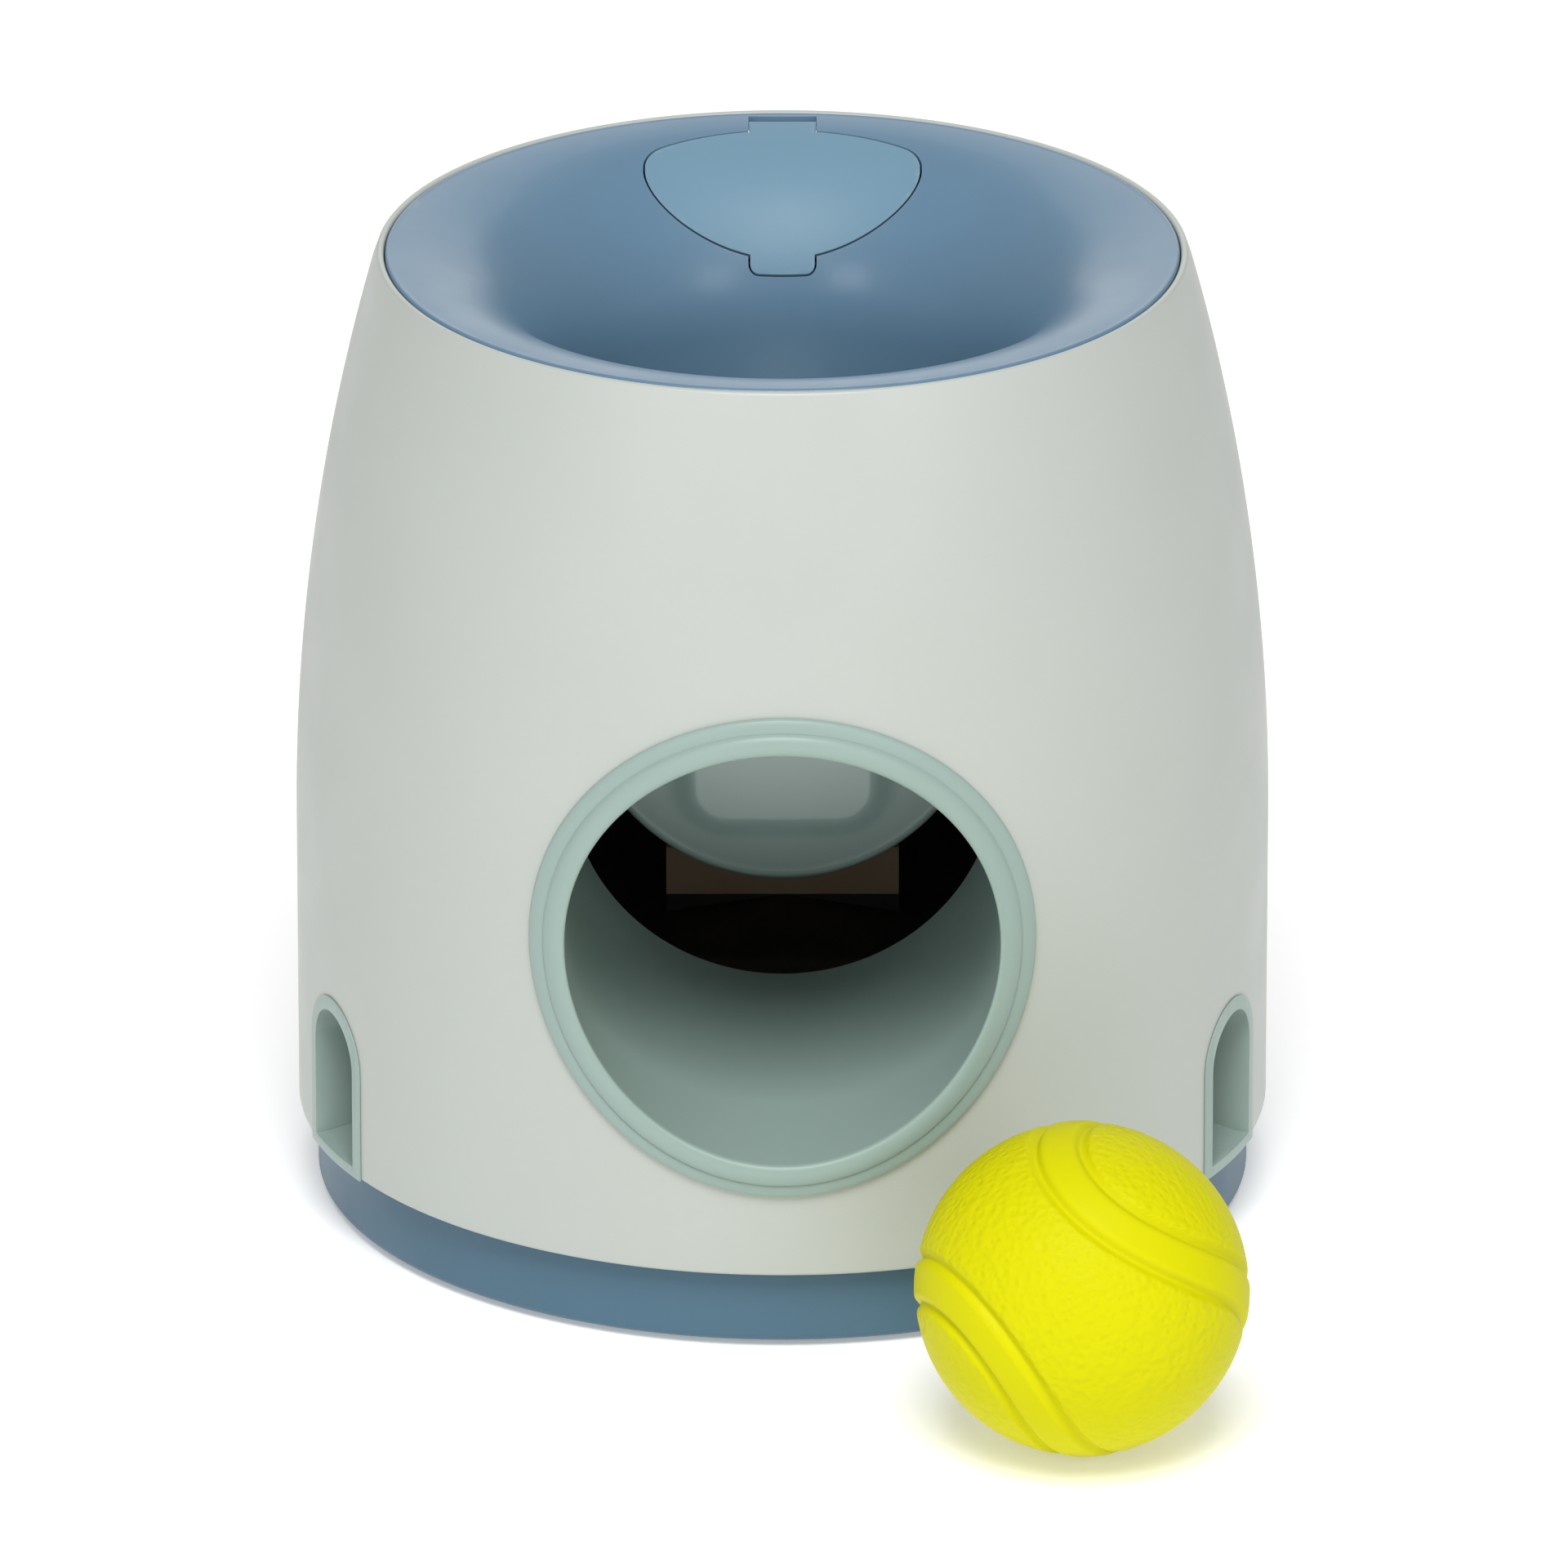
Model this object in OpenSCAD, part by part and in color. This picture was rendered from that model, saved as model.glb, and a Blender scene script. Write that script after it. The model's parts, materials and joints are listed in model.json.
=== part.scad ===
// Ball-triggered treat feeder for dogs.
// Origin: centre of the base on the floor. +Z up, -Y to the front, where the ball comes out.

/* [Shell] */
// Outer diameter of the straight lower part of the shell
shell_d = 190; // [188:1:194]
// Height of the shell's top lip above the floor
shell_top = 192; // [190:1:196]
// Height of the shell's lower edge above the floor
shell_bottom = 16.4; // [15.6:0.2:17]
// Height where the straight side starts to curve inwards
curve_start = 76; // [72:1:80]
// How far the side curves inwards at the top lip
taper = 16.34; // [14:0.02:18]
// Wall thickness of the shell
shell_wall = 2.5; // [2:0.1:3]
// Width of the lip left around the bowl
lip_w = 1.5; // [1.2:0.1:2]
// Depth of the ledge that carries the bowl, below the lip
ledge_depth = 6; // [5.6:0.2:7]
// Thickness of the ledge
ledge_t = 3; // [2:0.5:4]
// Width of the ledge under the bowl's skirt
ledge_w = 4; // [3.5:0.1:4.4]

/* [Bowl] */
// Radius of the bowl's rolled mouth
bell_r = 34; // [33:0.5:35]
// Wall thickness of the bowl
bowl_wall = 2.5; // [2:0.1:3]
// Height of the throat's lower end above the paddle's axle
throat_clear = 17; // [15:0.5:22]
// Thickness of the skirt that stands on the ledge
skirt_t = 3; // [2.5:0.1:3.2]

/* [Treat lid] */
// Half of the lid's width
lid_half_w = 27; // [24:0.2:28]
// Width of the bowl's surface left in front of the lid's tab
lid_front_w = 1.7; // [1:0.02:2]
// Distance of the lid's rear edge from the bowl's rim
lid_margin = 8.1; // [7.6:0.02:9]
// Radius of the lid's curved rear edge
lid_bend = 41; // [36:0.5:50]
// Radius of the lid's rear corners
lid_corner_r = 8; // [5:0.5:9]
// Depth of the lid's rounded front, square to its edge
lid_front_l = 16.6; // [14:0.2:18]
// Tilt of the lid's front edge, which lets it swing clear of the bowl
lid_tilt = 40; // [35:1:45]
// Thickness of the lid
lid_t = 2; // [1.6:0.1:2.2]
// Gap between the lid and the bowl
lid_gap = 0.4; // [0.3:0.05:0.7]
// Width of the finger tab and of the hinge strip
tab_w = 12.6; // [10:0.2:15]
// Reach of the finger tab in front of the lid's edge
tab_l = 2.9; // [2:0.1:3.4]
// Distance of the hinge pin from the bowl's rim
hinge_margin = 4.96; // [4.6:0.02:5.4]
// Diameter of the hinge pin
hinge_pin_d = 2.5; // [2:0.1:2.8]
// Outer diameter of the lid's hinge knuckle
knuckle_d = 4.6; // [4.2:0.1:4.8]
// Width of each hinge ear
ear_w = 4; // [3:0.5:6]

/* [Ball port] */
// Height of the port's axis
port_z = 82; // [81:0.5:83]
// Bore diameter of the port and its trough
port_d = 83.6; // [82:0.2:84.4]
// Wall thickness of the tube and trough
tube_wall = 2.5; // [2:0.1:3]
// Width of the ring around the port, beyond the tube
ring_w = 4.4; // [3:0.2:6]
// Height of the ring above the shell's surface
ring_proud = 2; // [1.4:0.1:2.6]
// Gap between the closed collar's rear end and the bowl's throat
collar_gap = 2.54; // [1:0.02:6]
// Gap between the trough's rear end and the paddle's lower edge
trough_gap = 5; // [4:0.5:8]

/* [Treat outlets] */
// Angle of each outlet from the front
outlet_angle = 67; // [66:0.5:69]
// Width of the outlet's passage
outlet_w = 19; // [17:0.5:20]
// Height of the passage's crown
outlet_top = 47.5; // [45:0.5:50]
// Wall thickness of the outlet liner
outlet_wall = 2; // [1.6:0.1:2.4]
// Width of the lip around the outlet, beyond the liner
outlet_lip = 0.8; // [0.6:0.1:2.5]
// Height of the lip above the shell's surface
outlet_proud = 0.4; // [0.3:0.1:1.8]
// Length of the liner inside the shell's surface
outlet_len = 17; // [14:0.5:18]
// Slope of the outlet's floor
outlet_slope = 8; // [5:0.5:10]

/* [Trigger paddle] */
// Slope of the resting paddle
paddle_slope = 48; // [47:0.5:49]
// Radius of the paddle's round front
paddle_r = 40; // [38:0.5:40.5]
// Reach of the paddle's lower edge in front of the axle
paddle_reach = 39; // [37:0.5:41]
// Drop of the paddle's lower edge below the axle
paddle_drop = 42; // [40:0.5:44]
// Radius of the paddle's hollow face
dish_r = 170; // [165:5:250]
// Thickness of the paddle's wall
paddle_t = 2.2; // [1.8:0.1:2.4]
// Half of the width of the pocket in the paddle
pocket_half_w = 19.5; // [16:0.5:21]
// Depth of the pocket below the paddle's rim
pocket_depth = 6.8; // [6.2:0.1:7]
// Distance of the pocket from the paddle's lower edge
pocket_start = 12; // [10:0.5:16]
// Diameter of the paddle's hinge barrel
barrel_d = 12; // [10:0.5:12.5]
// Height of the axle above the port's axis
axle_rise = 19; // [18:0.5:20]
// Diameter of the paddle's axle and of the drum's shaft
shaft_d = 5; // [4:0.2:5.4]
// Travel of the paddle, in degrees
paddle_travel = 25; // [20:1:26]

/* [Mechanism] */
// Gap between the paddle's edge and each bearing cheek
cheek_clear = 2; // [1.6:0.1:3]
// Thickness of each cheek
cheek_t = 3; // [2.5:0.1:3.5]
// Width of each cheek's edge around its bushes
cheek_lobe = 4; // [3:0.5:6]
// Radius of each cheek's edge around its screws
cheek_pad = 5; // [4:0.5:6]
// Width of each cheek's edge around the stops
stop_pad = 2; // [1.5:0.5:3]
// Wall thickness of the bushes
bush_wall = 1; // [0.8:0.1:1.4]
// Thickness of the flange of the bushes
bush_flange = 1; // [0.8:0.1:1.4]
// Width of the flange of the bushes
flange_w = 1.5; // [1:0.1:2]
// Thickness of the retaining rings
clip_t = 0.8; // [0.6:0.1:1]
// Width of the retaining rings
clip_w = 1.6; // [1.2:0.1:2]
// Length of each shaft's end beyond its ring
shaft_over = 1; // [0.6:0.1:2]
// Gear module
gear_m = 1; // [0.98:0.01:1.02]
// Teeth on the full circle of the sector gear
sector_teeth = 48; // [48:12:48]
// Teeth on the drum's pinion
pinion_teeth = 12; // [12:1:12]
// Face width of the gears
gear_w = 4; // [3:0.5:5]
// Wall thickness of the sector gear's hub
hub_wall = 2.4; // [2:0.1:3]
// Diameter of the metering drum
drum_d = 32; // [30:0.5:32.5]
// Gap between the drum's rear corners and the shell
drum_clear = 1.66; // [1.2:0.02:3]
// Width of the drum's solid ends
drum_rib = 6; // [4:0.5:8]
// Number of treat pockets in the drum
pocket_count = 3; // [2:1:3]
// Radius of each treat pocket
drum_pocket_r = 7.5; // [6:0.5:8]
// Depth of each pocket's centre below the drum's face
drum_pocket_in = 2; // [1:0.5:3]
// Wall thickness of the hopper's front and back
hopper_wall = 2; // [1.6:0.1:2.4]
// Wall thickness of the hopper's sides
hopper_side = 4; // [3:0.5:5]
// Height of the hopper's lower end above the drum's axis
hopper_low = 10.2; // [9:0.2:12]
// Gap between the hopper and the bowl's throat
hopper_gap = 2.5; // [2:0.1:4]
// Gap between the hopper and the ledge under the bowl
hopper_back_gap = 0.7; // [0.5:0.1:1.2]
// Gap between the hopper's outlet and the paddle's barrel
hopper_clear = 6; // [5:0.5:7]
// Distance of the hopper's outlet edge behind the drum's axis
slot_back = 0.8; // [0.4:0.1:2]
// Height of the hopper's narrow outlet above the drum
slot_rise = 5; // [4:0.5:8]
// Height of the hopper's funnel
funnel_h = 16; // [14:0.5:20]
// Radius of the bosses that carry the hopper
boss_r = 4; // [3.5:0.1:5]
// Distance of the bosses from the hopper's front face
boss_set = 2; // [1:0.1:3]
// Gap between the bosses and the hopper's sides
boss_gap = 0.5; // [0.3:0.1:1]
// Thickness of the hopper's lugs
lug_t = 4; // [3:0.5:5]
// Length of the hopper's screws in the bosses
boss_thread = 10; // [8:0.5:12]
// Height of the hopper's lugs above the start of the bowl's curve
lug_rise = 2; // [1:0.5:4]
// Wire diameter of the return spring
spring_wire = 0.7; // [0.5:0.05:0.8]
// Turns of the return spring
spring_turns = 3; // [2:1:3]
// Radius of the paddle's stops about its axle
stop_at_r = 16; // [15:0.5:17]
// Diameter of the rubber stops
stop_d = 5; // [4:0.5:5.5]

/* [Ramp and base] */
// Gap between the ramp's ridge and the trough's rear end
ramp_gap = 1.5; // [1:0.1:2.5]
// Slope of the ramp's ridge from back to front
ramp_slope = 8; // [7:0.1:8.6]
// Slope of the ramp to each side
ramp_side_slope = 9; // [8.6:0.1:9.6]
// Thickness of the ramp
ramp_t = 2; // [1.6:0.1:2.4]
// Radius of the ramp's feet
foot_r = 3; // [2:0.5:4]
// Distance of the rear foot from the ramp's edge
foot_back = 18.5; // [15:0.5:25]
// Distance of the side feet from the ramp's edge
foot_side = 30.5; // [26:0.5:36]
// Distance of the side feet behind the feeder's axis
foot_y = 12; // [6:0.5:20]
// Distance of the front feet from the ramp's ridge
foot_x = 30; // [24:0.5:36]
// Gap between the ramp and the base's wall
ramp_edge_gap = 0.5; // [0.4:0.1:1]
// Half of the width of the baffle on the ramp
baffle_half_w = 23; // [20:0.5:26]
// Thickness of the baffle
baffle_t = 1.2; // [1:0.1:1.6]
// Height of the baffle above the ramp's ridge
baffle_h = 10; // [8:0.5:11]
// Distance of the baffle in front of the paddle's axle
baffle_reach = 6; // [4:0.5:8]
// Gap between the base and the shell's inner face
base_gap = 1.2; // [0.8:0.1:2]
// Wall thickness of the base
base_wall = 2.3; // [2:0.1:3]
// Thickness of the base's floor
base_floor_t = 2.5; // [2:0.1:3]
// Height of the base's wall inside the shell
spigot_h = 6; // [4:0.5:6]
// Height of the base's edge above the floor
base_lift = 1; // [0.8:0.1:1.4]
// Width of the base's edge outside the non-slip pad
pad_margin = 17.3; // [16:0.1:20]
// Thickness of the non-slip pad
pad_t = 2.5; // [2:0.1:3]
// Distance of the base's screws from its edge
screw_inset = 9.3; // [8.6:0.1:10]
// Radius of the base's screw posts
post_r = 5; // [4.5:0.1:5.5]
// Height of the shell's screw lugs
lug_h = 8; // [6:0.5:9]
// Diameter of all screws
screw_d = 3; // [2.5:0.1:3.2]
// Width of each screw's head around its shank
head_w = 1.5; // [1.2:0.1:1.8]
// Height of each screw's head
head_h = 2; // [1.6:0.1:2.4]

/* [Ball] */
// Diameter of the rubber ball
ball_d = 64; // [60:0.5:66]
// Gap between the resting ball and the shell
ball_gap = 21.4; // [15:0.2:40]
// Angle of the resting ball from the front
ball_angle = 22.59; // [0:0.01:40]

/* [Clearances] */
// Gap between fixed parts that seat in each other
seat_gap = 0.2; // [0.1:0.05:0.25]
// Radial running clearance of the shafts and the hinge pin
run_gap = 0.05; // [0.02:0.01:0.08]
// Side gap between moving parts
side_gap = 0.3; // [0.3:0.05:0.4]
// Gap between the metering drum and the hopper
drum_gap = 0.8; // [0.6:0.1:1]
// Backlash between the gears
backlash = 0.2; // [0.15:0.01:0.25]

/* [Hidden] */

$fn = 96;
fine = 360;
eps = 0.01;
far = 300;

shell_col = "#dfe3dc";
blue_col = "#5f88a6";
lid_col = "#84a9c2";
sage_col = "#a3c2b5";
steel_col = "#b9bcbe";
dark_col = "#26241f";
baffle_col = "#4a3826";
bronze_col = "#c9b48a";
rubber_col = "#3b3d3e";
ball_col = "#e6e20c";

// The side's curve leaves the straight part without a bend and ends at the lip
curve_h = shell_top - curve_start;
curve_r = (pow(taper, 2) + pow(curve_h, 2)) / (2 * taper);
shell_in = shell_d / 2 - shell_wall;
// Radius of the shell's outer face at a height
function shell_r(z) = shell_d / 2 - curve_r + sqrt(pow(curve_r, 2) - pow(max(z - curve_start, 0), 2));

ledge_z = shell_top - ledge_depth;
bowl_r = shell_r(shell_top) - lip_w - seat_gap;
bell_z = shell_top - bell_r;
throat_r = bowl_r - bell_r;
throat_out = throat_r + bowl_wall;
ledge_r = bowl_r - ledge_w;
// Height of the bowl's surface at a radius from the axis
function bowl_z(r) = bell_z + sqrt(pow(bell_r, 2) - pow(bowl_r - r, 2));

lid_tip = throat_r + lid_front_w + lid_gap;
lid_mid = tab_l + lid_front_l;
lid_back = bowl_r - lid_margin;
hinge_y = bowl_r - hinge_margin;
hinge_z = bowl_z(hinge_y) - knuckle_d / 2;
ear_bottom = ledge_z + side_gap;
ear_front = lid_back + lid_gap;
hinge_slot_w = tab_w + 2 * lid_gap;
pin_end = hinge_slot_w / 2 + ear_w;
port_r = port_d / 2;
tube_r = port_r + tube_wall;
collar_end = throat_out + collar_gap;
shaft_r = shaft_d / 2;
screw_r = screw_d / 2;

cheek_in = paddle_r + cheek_clear;
cheek_out = cheek_in + cheek_t;
flange_out = cheek_out + bush_flange;
gear_x = flange_out + side_gap;
gear_end = gear_x + gear_w;
clip_x = gear_end + side_gap;
shaft_end = clip_x + clip_t + shaft_over;
bush_r = shaft_r + run_gap + bush_wall;
flange_r = bush_r + flange_w;
clip_r = shaft_r + clip_w;

// The drum clears the shell, and the axle lies above and in front of it, at the gears' centre distance
gear_dist = gear_m * (sector_teeth + pinion_teeth) / 2;
mesh_angle = -45;
drum_half = cheek_in - side_gap - bush_flange;
drum_y = sqrt(pow(shell_in - drum_clear, 2) - pow(drum_half, 2)) - drum_d / 2;
axle_y = drum_y - gear_dist * cos(mesh_angle);
axle_z = port_z + axle_rise;
drum_z = axle_z + gear_dist * sin(mesh_angle);
sector_r = gear_m * sector_teeth / 2;
throat_bottom = axle_z + throat_clear;
paddle_y = axle_y - paddle_reach;
paddle_z = axle_z - paddle_drop;
trough_end = paddle_y - trough_gap;

// The sector gear carries teeth over the mesh plus the paddle's travel, with a margin at each end
sector_margin = 16;
sector_low = mesh_angle - paddle_travel - sector_margin;
sector_high = mesh_angle + sector_margin;
stop_half = asin((stop_d / 2 + side_gap) / stop_at_r);
stop_angles = [sector_low - stop_half, sector_high + paddle_travel + stop_half];

hopper_front = throat_out + hopper_gap;
hopper_back_r = ledge_r - hopper_back_gap;
hopper_bottom = drum_z + hopper_low;
hopper_slot_z = drum_z + drum_d / 2 + slot_rise;
hopper_neck_z = hopper_slot_z + funnel_h;
hopper_slot = [axle_y + barrel_d / 2 + hopper_clear, drum_y + slot_back];
boss_at = [cheek_in + boss_r + boss_gap, hopper_front - boss_set];
lug_z = bell_z + lug_rise;
// The cheeks' screws share out the height between the axle and the hopper's lugs
screw_rise = lug_z - axle_z;
cheek_screws_at = [for (share = [0.8, 0.4]) [hopper_front + cheek_pad, axle_z + share * screw_rise]];
cheek_screw_len = cheek_t + hopper_side - 1;

base_r = shell_in - base_gap;
pad_d = 2 * (base_r - pad_margin);
base_screw_at = base_r - screw_inset;
base_top = shell_bottom + spigot_h;
base_floor_top = pad_t + base_floor_t;
post_top = base_top + seat_gap;
lug_top = post_top + lug_h;
base_screw_angles = [-35, 35, 140, -140];
head_r = screw_r + head_w;
ramp_r = base_r - base_wall - ramp_edge_gap;
ramp_line = -outlet_y(shell_d / 2);
ramp_front = -collar_end - ramp_t;
baffle_front = axle_y - baffle_reach;
ramp_wall_top = port_z - tube_r - ramp_gap;
ramp_ridge = ramp_wall_top - (trough_end - ramp_line) * tan(ramp_slope);
ramp_feet = [
    [0, ramp_r - foot_back],
    [foot_side - ramp_r, foot_y],
    [ramp_r - foot_side, foot_y],
    [-foot_x, ramp_front + 2 * foot_r],
    [foot_x, ramp_front + 2 * foot_r]
];
ball_at = shell_d / 2 + ball_gap + ball_d / 2;
function outlet_y(r) = r * cos(outlet_angle);
// Height of the ramp's top face over a point of the floor
function ramp_z(x, y) = ramp_ridge + (y - ramp_line) * tan(ramp_slope) - abs(x) * tan(ramp_side_slope);

// Shapes shared by several pieces

// Half section of the space inside the shell's outer face, moved inwards by a distance
module side_face(inset, low, high) {
    translate([0, low])
        square([shell_d / 2 - inset, curve_start - low]);
    intersection() {
        translate([shell_d / 2 - curve_r, curve_start])
            circle(curve_r - inset, $fn = fine);
        translate([0, curve_start - eps])
            square([shell_d, high - curve_start + eps]);
    }
}

module shell_space(inset, low, high) {
    rotate_extrude($fn = fine)
        side_face(inset, low, high);
}

// A cylinder along X through a point of the side view
module x_rod(r, x0, x1, y, z) {
    translate([x0, y, z])
        rotate([0, 90, 0])
            cylinder(r = r, h = x1 - x0);
}

// A cylinder along Y on the port's axis
module port_rod(r, y0, y1) {
    translate([0, y0, port_z])
        rotate([-90, 0, 0])
            cylinder(r = r, h = y1 - y0, $fn = fine);
}

// Puts the children at the right (1) or left (-1) outlet, with X pointing out of the shell
module at_outlet(side) {
    rotate([0, 0, side * outlet_angle - 90])
        children();
}

// A round-topped passage along X, from one radius to another
module arch(width, low, top, r0, r1) {
    translate([r0, 0, 0])
        rotate([90, 0, 90])
            linear_extrude(r1 - r0) {
                translate([-width / 2, low])
                    square([width, top - width / 2 - low]);
                translate([0, top - width / 2])
                    circle(width / 2);
            }
}

// The liner's outer form, grown by a distance, for the holes that it passes through
module outlet_form(grow, r0, r1) {
    wide = outlet_w + 2 * outlet_wall + 2 * grow;
    arch(wide, shell_bottom - grow, outlet_top + outlet_wall + grow, r0, r1);
}

// Puts the children at each of the base's screws
module at_base_screws() {
    for (a = base_screw_angles)
        rotate([0, 0, a - 90])
            translate([base_screw_at, 0, 0])
                children();
}

// A screw along +Z with its pan head below z = 0
module screw(length) {
    translate([0, 0, -head_h / 2])
        cylinder(r = screw_r, h = length + head_h / 2);
    translate([0, 0, -head_h])
        cylinder(r = head_r, h = head_h);
}

// Half section of the bowl's rolled mouth
module bell_section(wall) {
    intersection() {
        translate([bowl_r, bell_z])
            difference() {
                circle(bell_r, $fn = fine);
                circle(bell_r - wall, $fn = fine);
            }
        translate([0, bell_z])
            square([bowl_r, bell_r]);
    }
}

// Space under the bowl's top face, out to its rim
module under_bowl() {
    rotate_extrude($fn = fine)
        intersection() {
            translate([throat_r, 0])
                square([bell_r, shell_top]);
            union() {
                translate([bowl_r, bell_z])
                    circle(bell_r, $fn = fine);
                square([bowl_r, bell_z]);
            }
        }
}

// Plan outline of the lid's sides and rear, grown by a distance
module lid_rear(grow) {
    half = lid_half_w + grow;
    fillet = lid_corner_r + grow;
    offset(r = fillet)
        offset(delta = -fillet)
            intersection() {
                translate([0, lid_back - lid_bend])
                    circle(lid_bend + grow, $fn = fine);
                translate([-half, 0])
                    square([2 * half, far]);
            }
}

// Outline of the lid's rounded front and finger tab, grown by a distance
module lid_front(grow) {
    half = lid_half_w + grow;
    polygon([
        for (a = [180 : 5 : 360]) [half * cos(a), lid_mid + (lid_front_l + grow) * sin(a)],
        [half, far], [-half, far]
    ]);
    translate([-tab_w / 2 - grow, -grow])
        square([tab_w + 2 * grow, lid_mid]);
}

// Space that the lid takes in the bowl, grown by a distance
module lid_space(grow) {
    intersection() {
        linear_extrude(far)
            lid_rear(grow);
        translate([0, lid_tip, bowl_z(lid_tip)])
            rotate([lid_tilt, 0, 0])
                linear_extrude(2 * far, center = true)
                    lid_front(grow);
    }
}

// Teeth of an involute gear
function inv(a) = tan(a) * 180 / PI - a;
pressure_angle = 25;
module gear_outline(teeth, slack) {
    pitch = gear_m * teeth / 2;
    base = pitch * cos(pressure_angle);
    tip = pitch + gear_m;
    root = pitch - 1.25 * gear_m;
    half = 90 / teeth - slack / pitch * 90 / PI + inv(pressure_angle);
    start = max(base, root);
    steps = 6;
    radii = [for (i = [0:steps]) start + (tip - start) * i / steps];
    flank = [for (r = radii) [r, half - inv(acos(min(1, base / r)))]];
    tooth = concat([[root, flank[0][1]]], flank);
    points = [
        for (t = [0:teeth - 1])
            let (mid = t * 360 / teeth)
                each concat(
                    [for (p = tooth) p[0] * [cos(mid - p[1]), sin(mid - p[1])]],
                    [for (i = [len(tooth) - 1:-1:0])
                        tooth[i][0] * [cos(mid + tooth[i][1]), sin(mid + tooth[i][1])]]
                )
    ];
    polygon(points);
}

// Stands a side-view outline up, with its first axis along +Y and its thickness along +X
module side_plate(x0, x1) {
    translate([x0, 0, 0])
        rotate([90, 0, 90])
            linear_extrude(x1 - x0)
                children();
}

// A wedge of a circle between two angles
module wedge(r, low, high) {
    mid = (low + high) / 2;
    polygon([[0, 0], r * [cos(low), sin(low)], r * [cos(mid), sin(mid)], r * [cos(high), sin(high)]]);
}

// Fixed pieces that show

module outer_shell() {
    color(shell_col)
        difference() {
            union() {
                rotate_extrude($fn = fine)
                    difference() {
                        side_face(0, shell_bottom, shell_top);
                        side_face(shell_wall, shell_bottom - 1, shell_top + 1);
                    }
                rotate_extrude($fn = fine)
                    intersection() {
                        side_face(shell_wall / 2, shell_bottom, shell_top);
                        translate([ledge_r, ledge_z - ledge_t])
                            square([shell_d, ledge_t]);
                    }
                intersection() {
                    at_base_screws() {
                        translate([0, 0, post_top])
                            cylinder(r = post_r, h = lug_top - post_top);
                        translate([0, -post_r, post_top])
                            cube([shell_d / 2 - base_screw_at, 2 * post_r, lug_top - post_top]);
                    }
                    shell_space(shell_wall / 2, shell_bottom, shell_top);
                }
            }
            translate([0, 0, ledge_z])
                cylinder(r = bowl_r + seat_gap, h = shell_top, $fn = fine);
            port_rod(tube_r + seat_gap, -shell_d, 0);
            for (side = [-1, 1])
                at_outlet(side)
                    outlet_form(seat_gap, ramp_r - 20, shell_d);
            at_base_screws()
                translate([0, 0, post_top - 1])
                    cylinder(r = screw_r, h = lug_top - post_top - 1);
        }
}

module top_bowl() {
    color(blue_col)
        difference() {
            union() {
                difference() {
                    rotate_extrude($fn = fine) {
                        bell_section(bowl_wall);
                        translate([throat_r, throat_bottom])
                            square([bowl_wall, bell_z - throat_bottom]);
                        intersection() {
                            translate([bowl_r - skirt_t, ledge_z])
                                square([skirt_t, ledge_depth]);
                            translate([bowl_r, bell_z])
                                circle(bell_r, $fn = fine);
                        }
                    }
                    lid_space(lid_gap);
                }
                intersection() {
                    union() {
                        for (side = [-1, 1])
                            translate([side * boss_at[0], boss_at[1], lug_z + lug_t])
                                cylinder(r = boss_r, h = far);
                        translate([-pin_end, ear_front, ear_bottom])
                            cube([2 * pin_end, bowl_r - skirt_t / 2 - 1 - ear_front, far]);
                    }
                    under_bowl();
                }
            }
            translate([-hinge_slot_w / 2, lid_back - 3, 0])
                cube([hinge_slot_w, hinge_y + knuckle_d / 2 + side_gap - lid_back + 3, far]);
            x_rod(hinge_pin_d / 2 + run_gap, -bowl_r, bowl_r, hinge_y, hinge_z);
            for (side = [-1, 1])
                translate([side * boss_at[0], boss_at[1], lug_z])
                    cylinder(r = screw_r, h = lug_t + boss_thread + 2);
        }
}

module ball_tube() {
    reach = shell_d / 2 + ring_proud;
    color(sage_col)
        difference() {
            union() {
                intersection() {
                    port_rod(tube_r, -2 * reach, -collar_end);
                    shell_space(-ring_proud, 0, shell_top);
                }
                intersection() {
                    port_rod(tube_r + ring_w, -2 * reach, 0);
                    difference() {
                        shell_space(-ring_proud, 0, shell_top);
                        shell_space(-seat_gap / 2, -1, shell_top + 1);
                    }
                }
                intersection() {
                    port_rod(tube_r, -collar_end - eps, trough_end);
                    translate([-far / 2, -far / 2, 0])
                        cube([far, far, port_z]);
                }
            }
            port_rod(port_r, -2 * reach, far);
        }
}

module outlet_liner(side) {
    inner = shell_d / 2 - outlet_len;
    outer = shell_d / 2 + outlet_proud;
    wide = outlet_w + 2 * outlet_wall;
    floor_rise = outlet_len * tan(outlet_slope);
    color(sage_col)
        at_outlet(side)
            intersection() {
                cylinder(r = outer, h = shell_top, $fn = fine);
                union() {
                    difference() {
                        union() {
                            outlet_form(0, inner, shell_d);
                            difference() {
                                arch(wide + 2 * outlet_lip, shell_bottom, outlet_top + outlet_wall + outlet_lip,
                                    inner, shell_d);
                                cylinder(r = shell_d / 2 + seat_gap / 2, h = shell_top, $fn = fine);
                            }
                        }
                        arch(outlet_w, 0, outlet_top, 0, shell_d);
                    }
                    translate([0, outlet_w / 2 + eps, 0])
                        rotate([90, 0, 0])
                            linear_extrude(outlet_w + 2 * eps)
                                polygon([
                                    [inner, shell_bottom],
                                    [shell_d, shell_bottom],
                                    [shell_d, shell_bottom + outlet_wall],
                                    [outer, shell_bottom + outlet_wall],
                                    [inner, shell_bottom + outlet_wall + floor_rise]
                                ]);
                }
            }
}

module left_outlet() {
    outlet_liner(-1);
}

module right_outlet() {
    outlet_liner(1);
}

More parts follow.
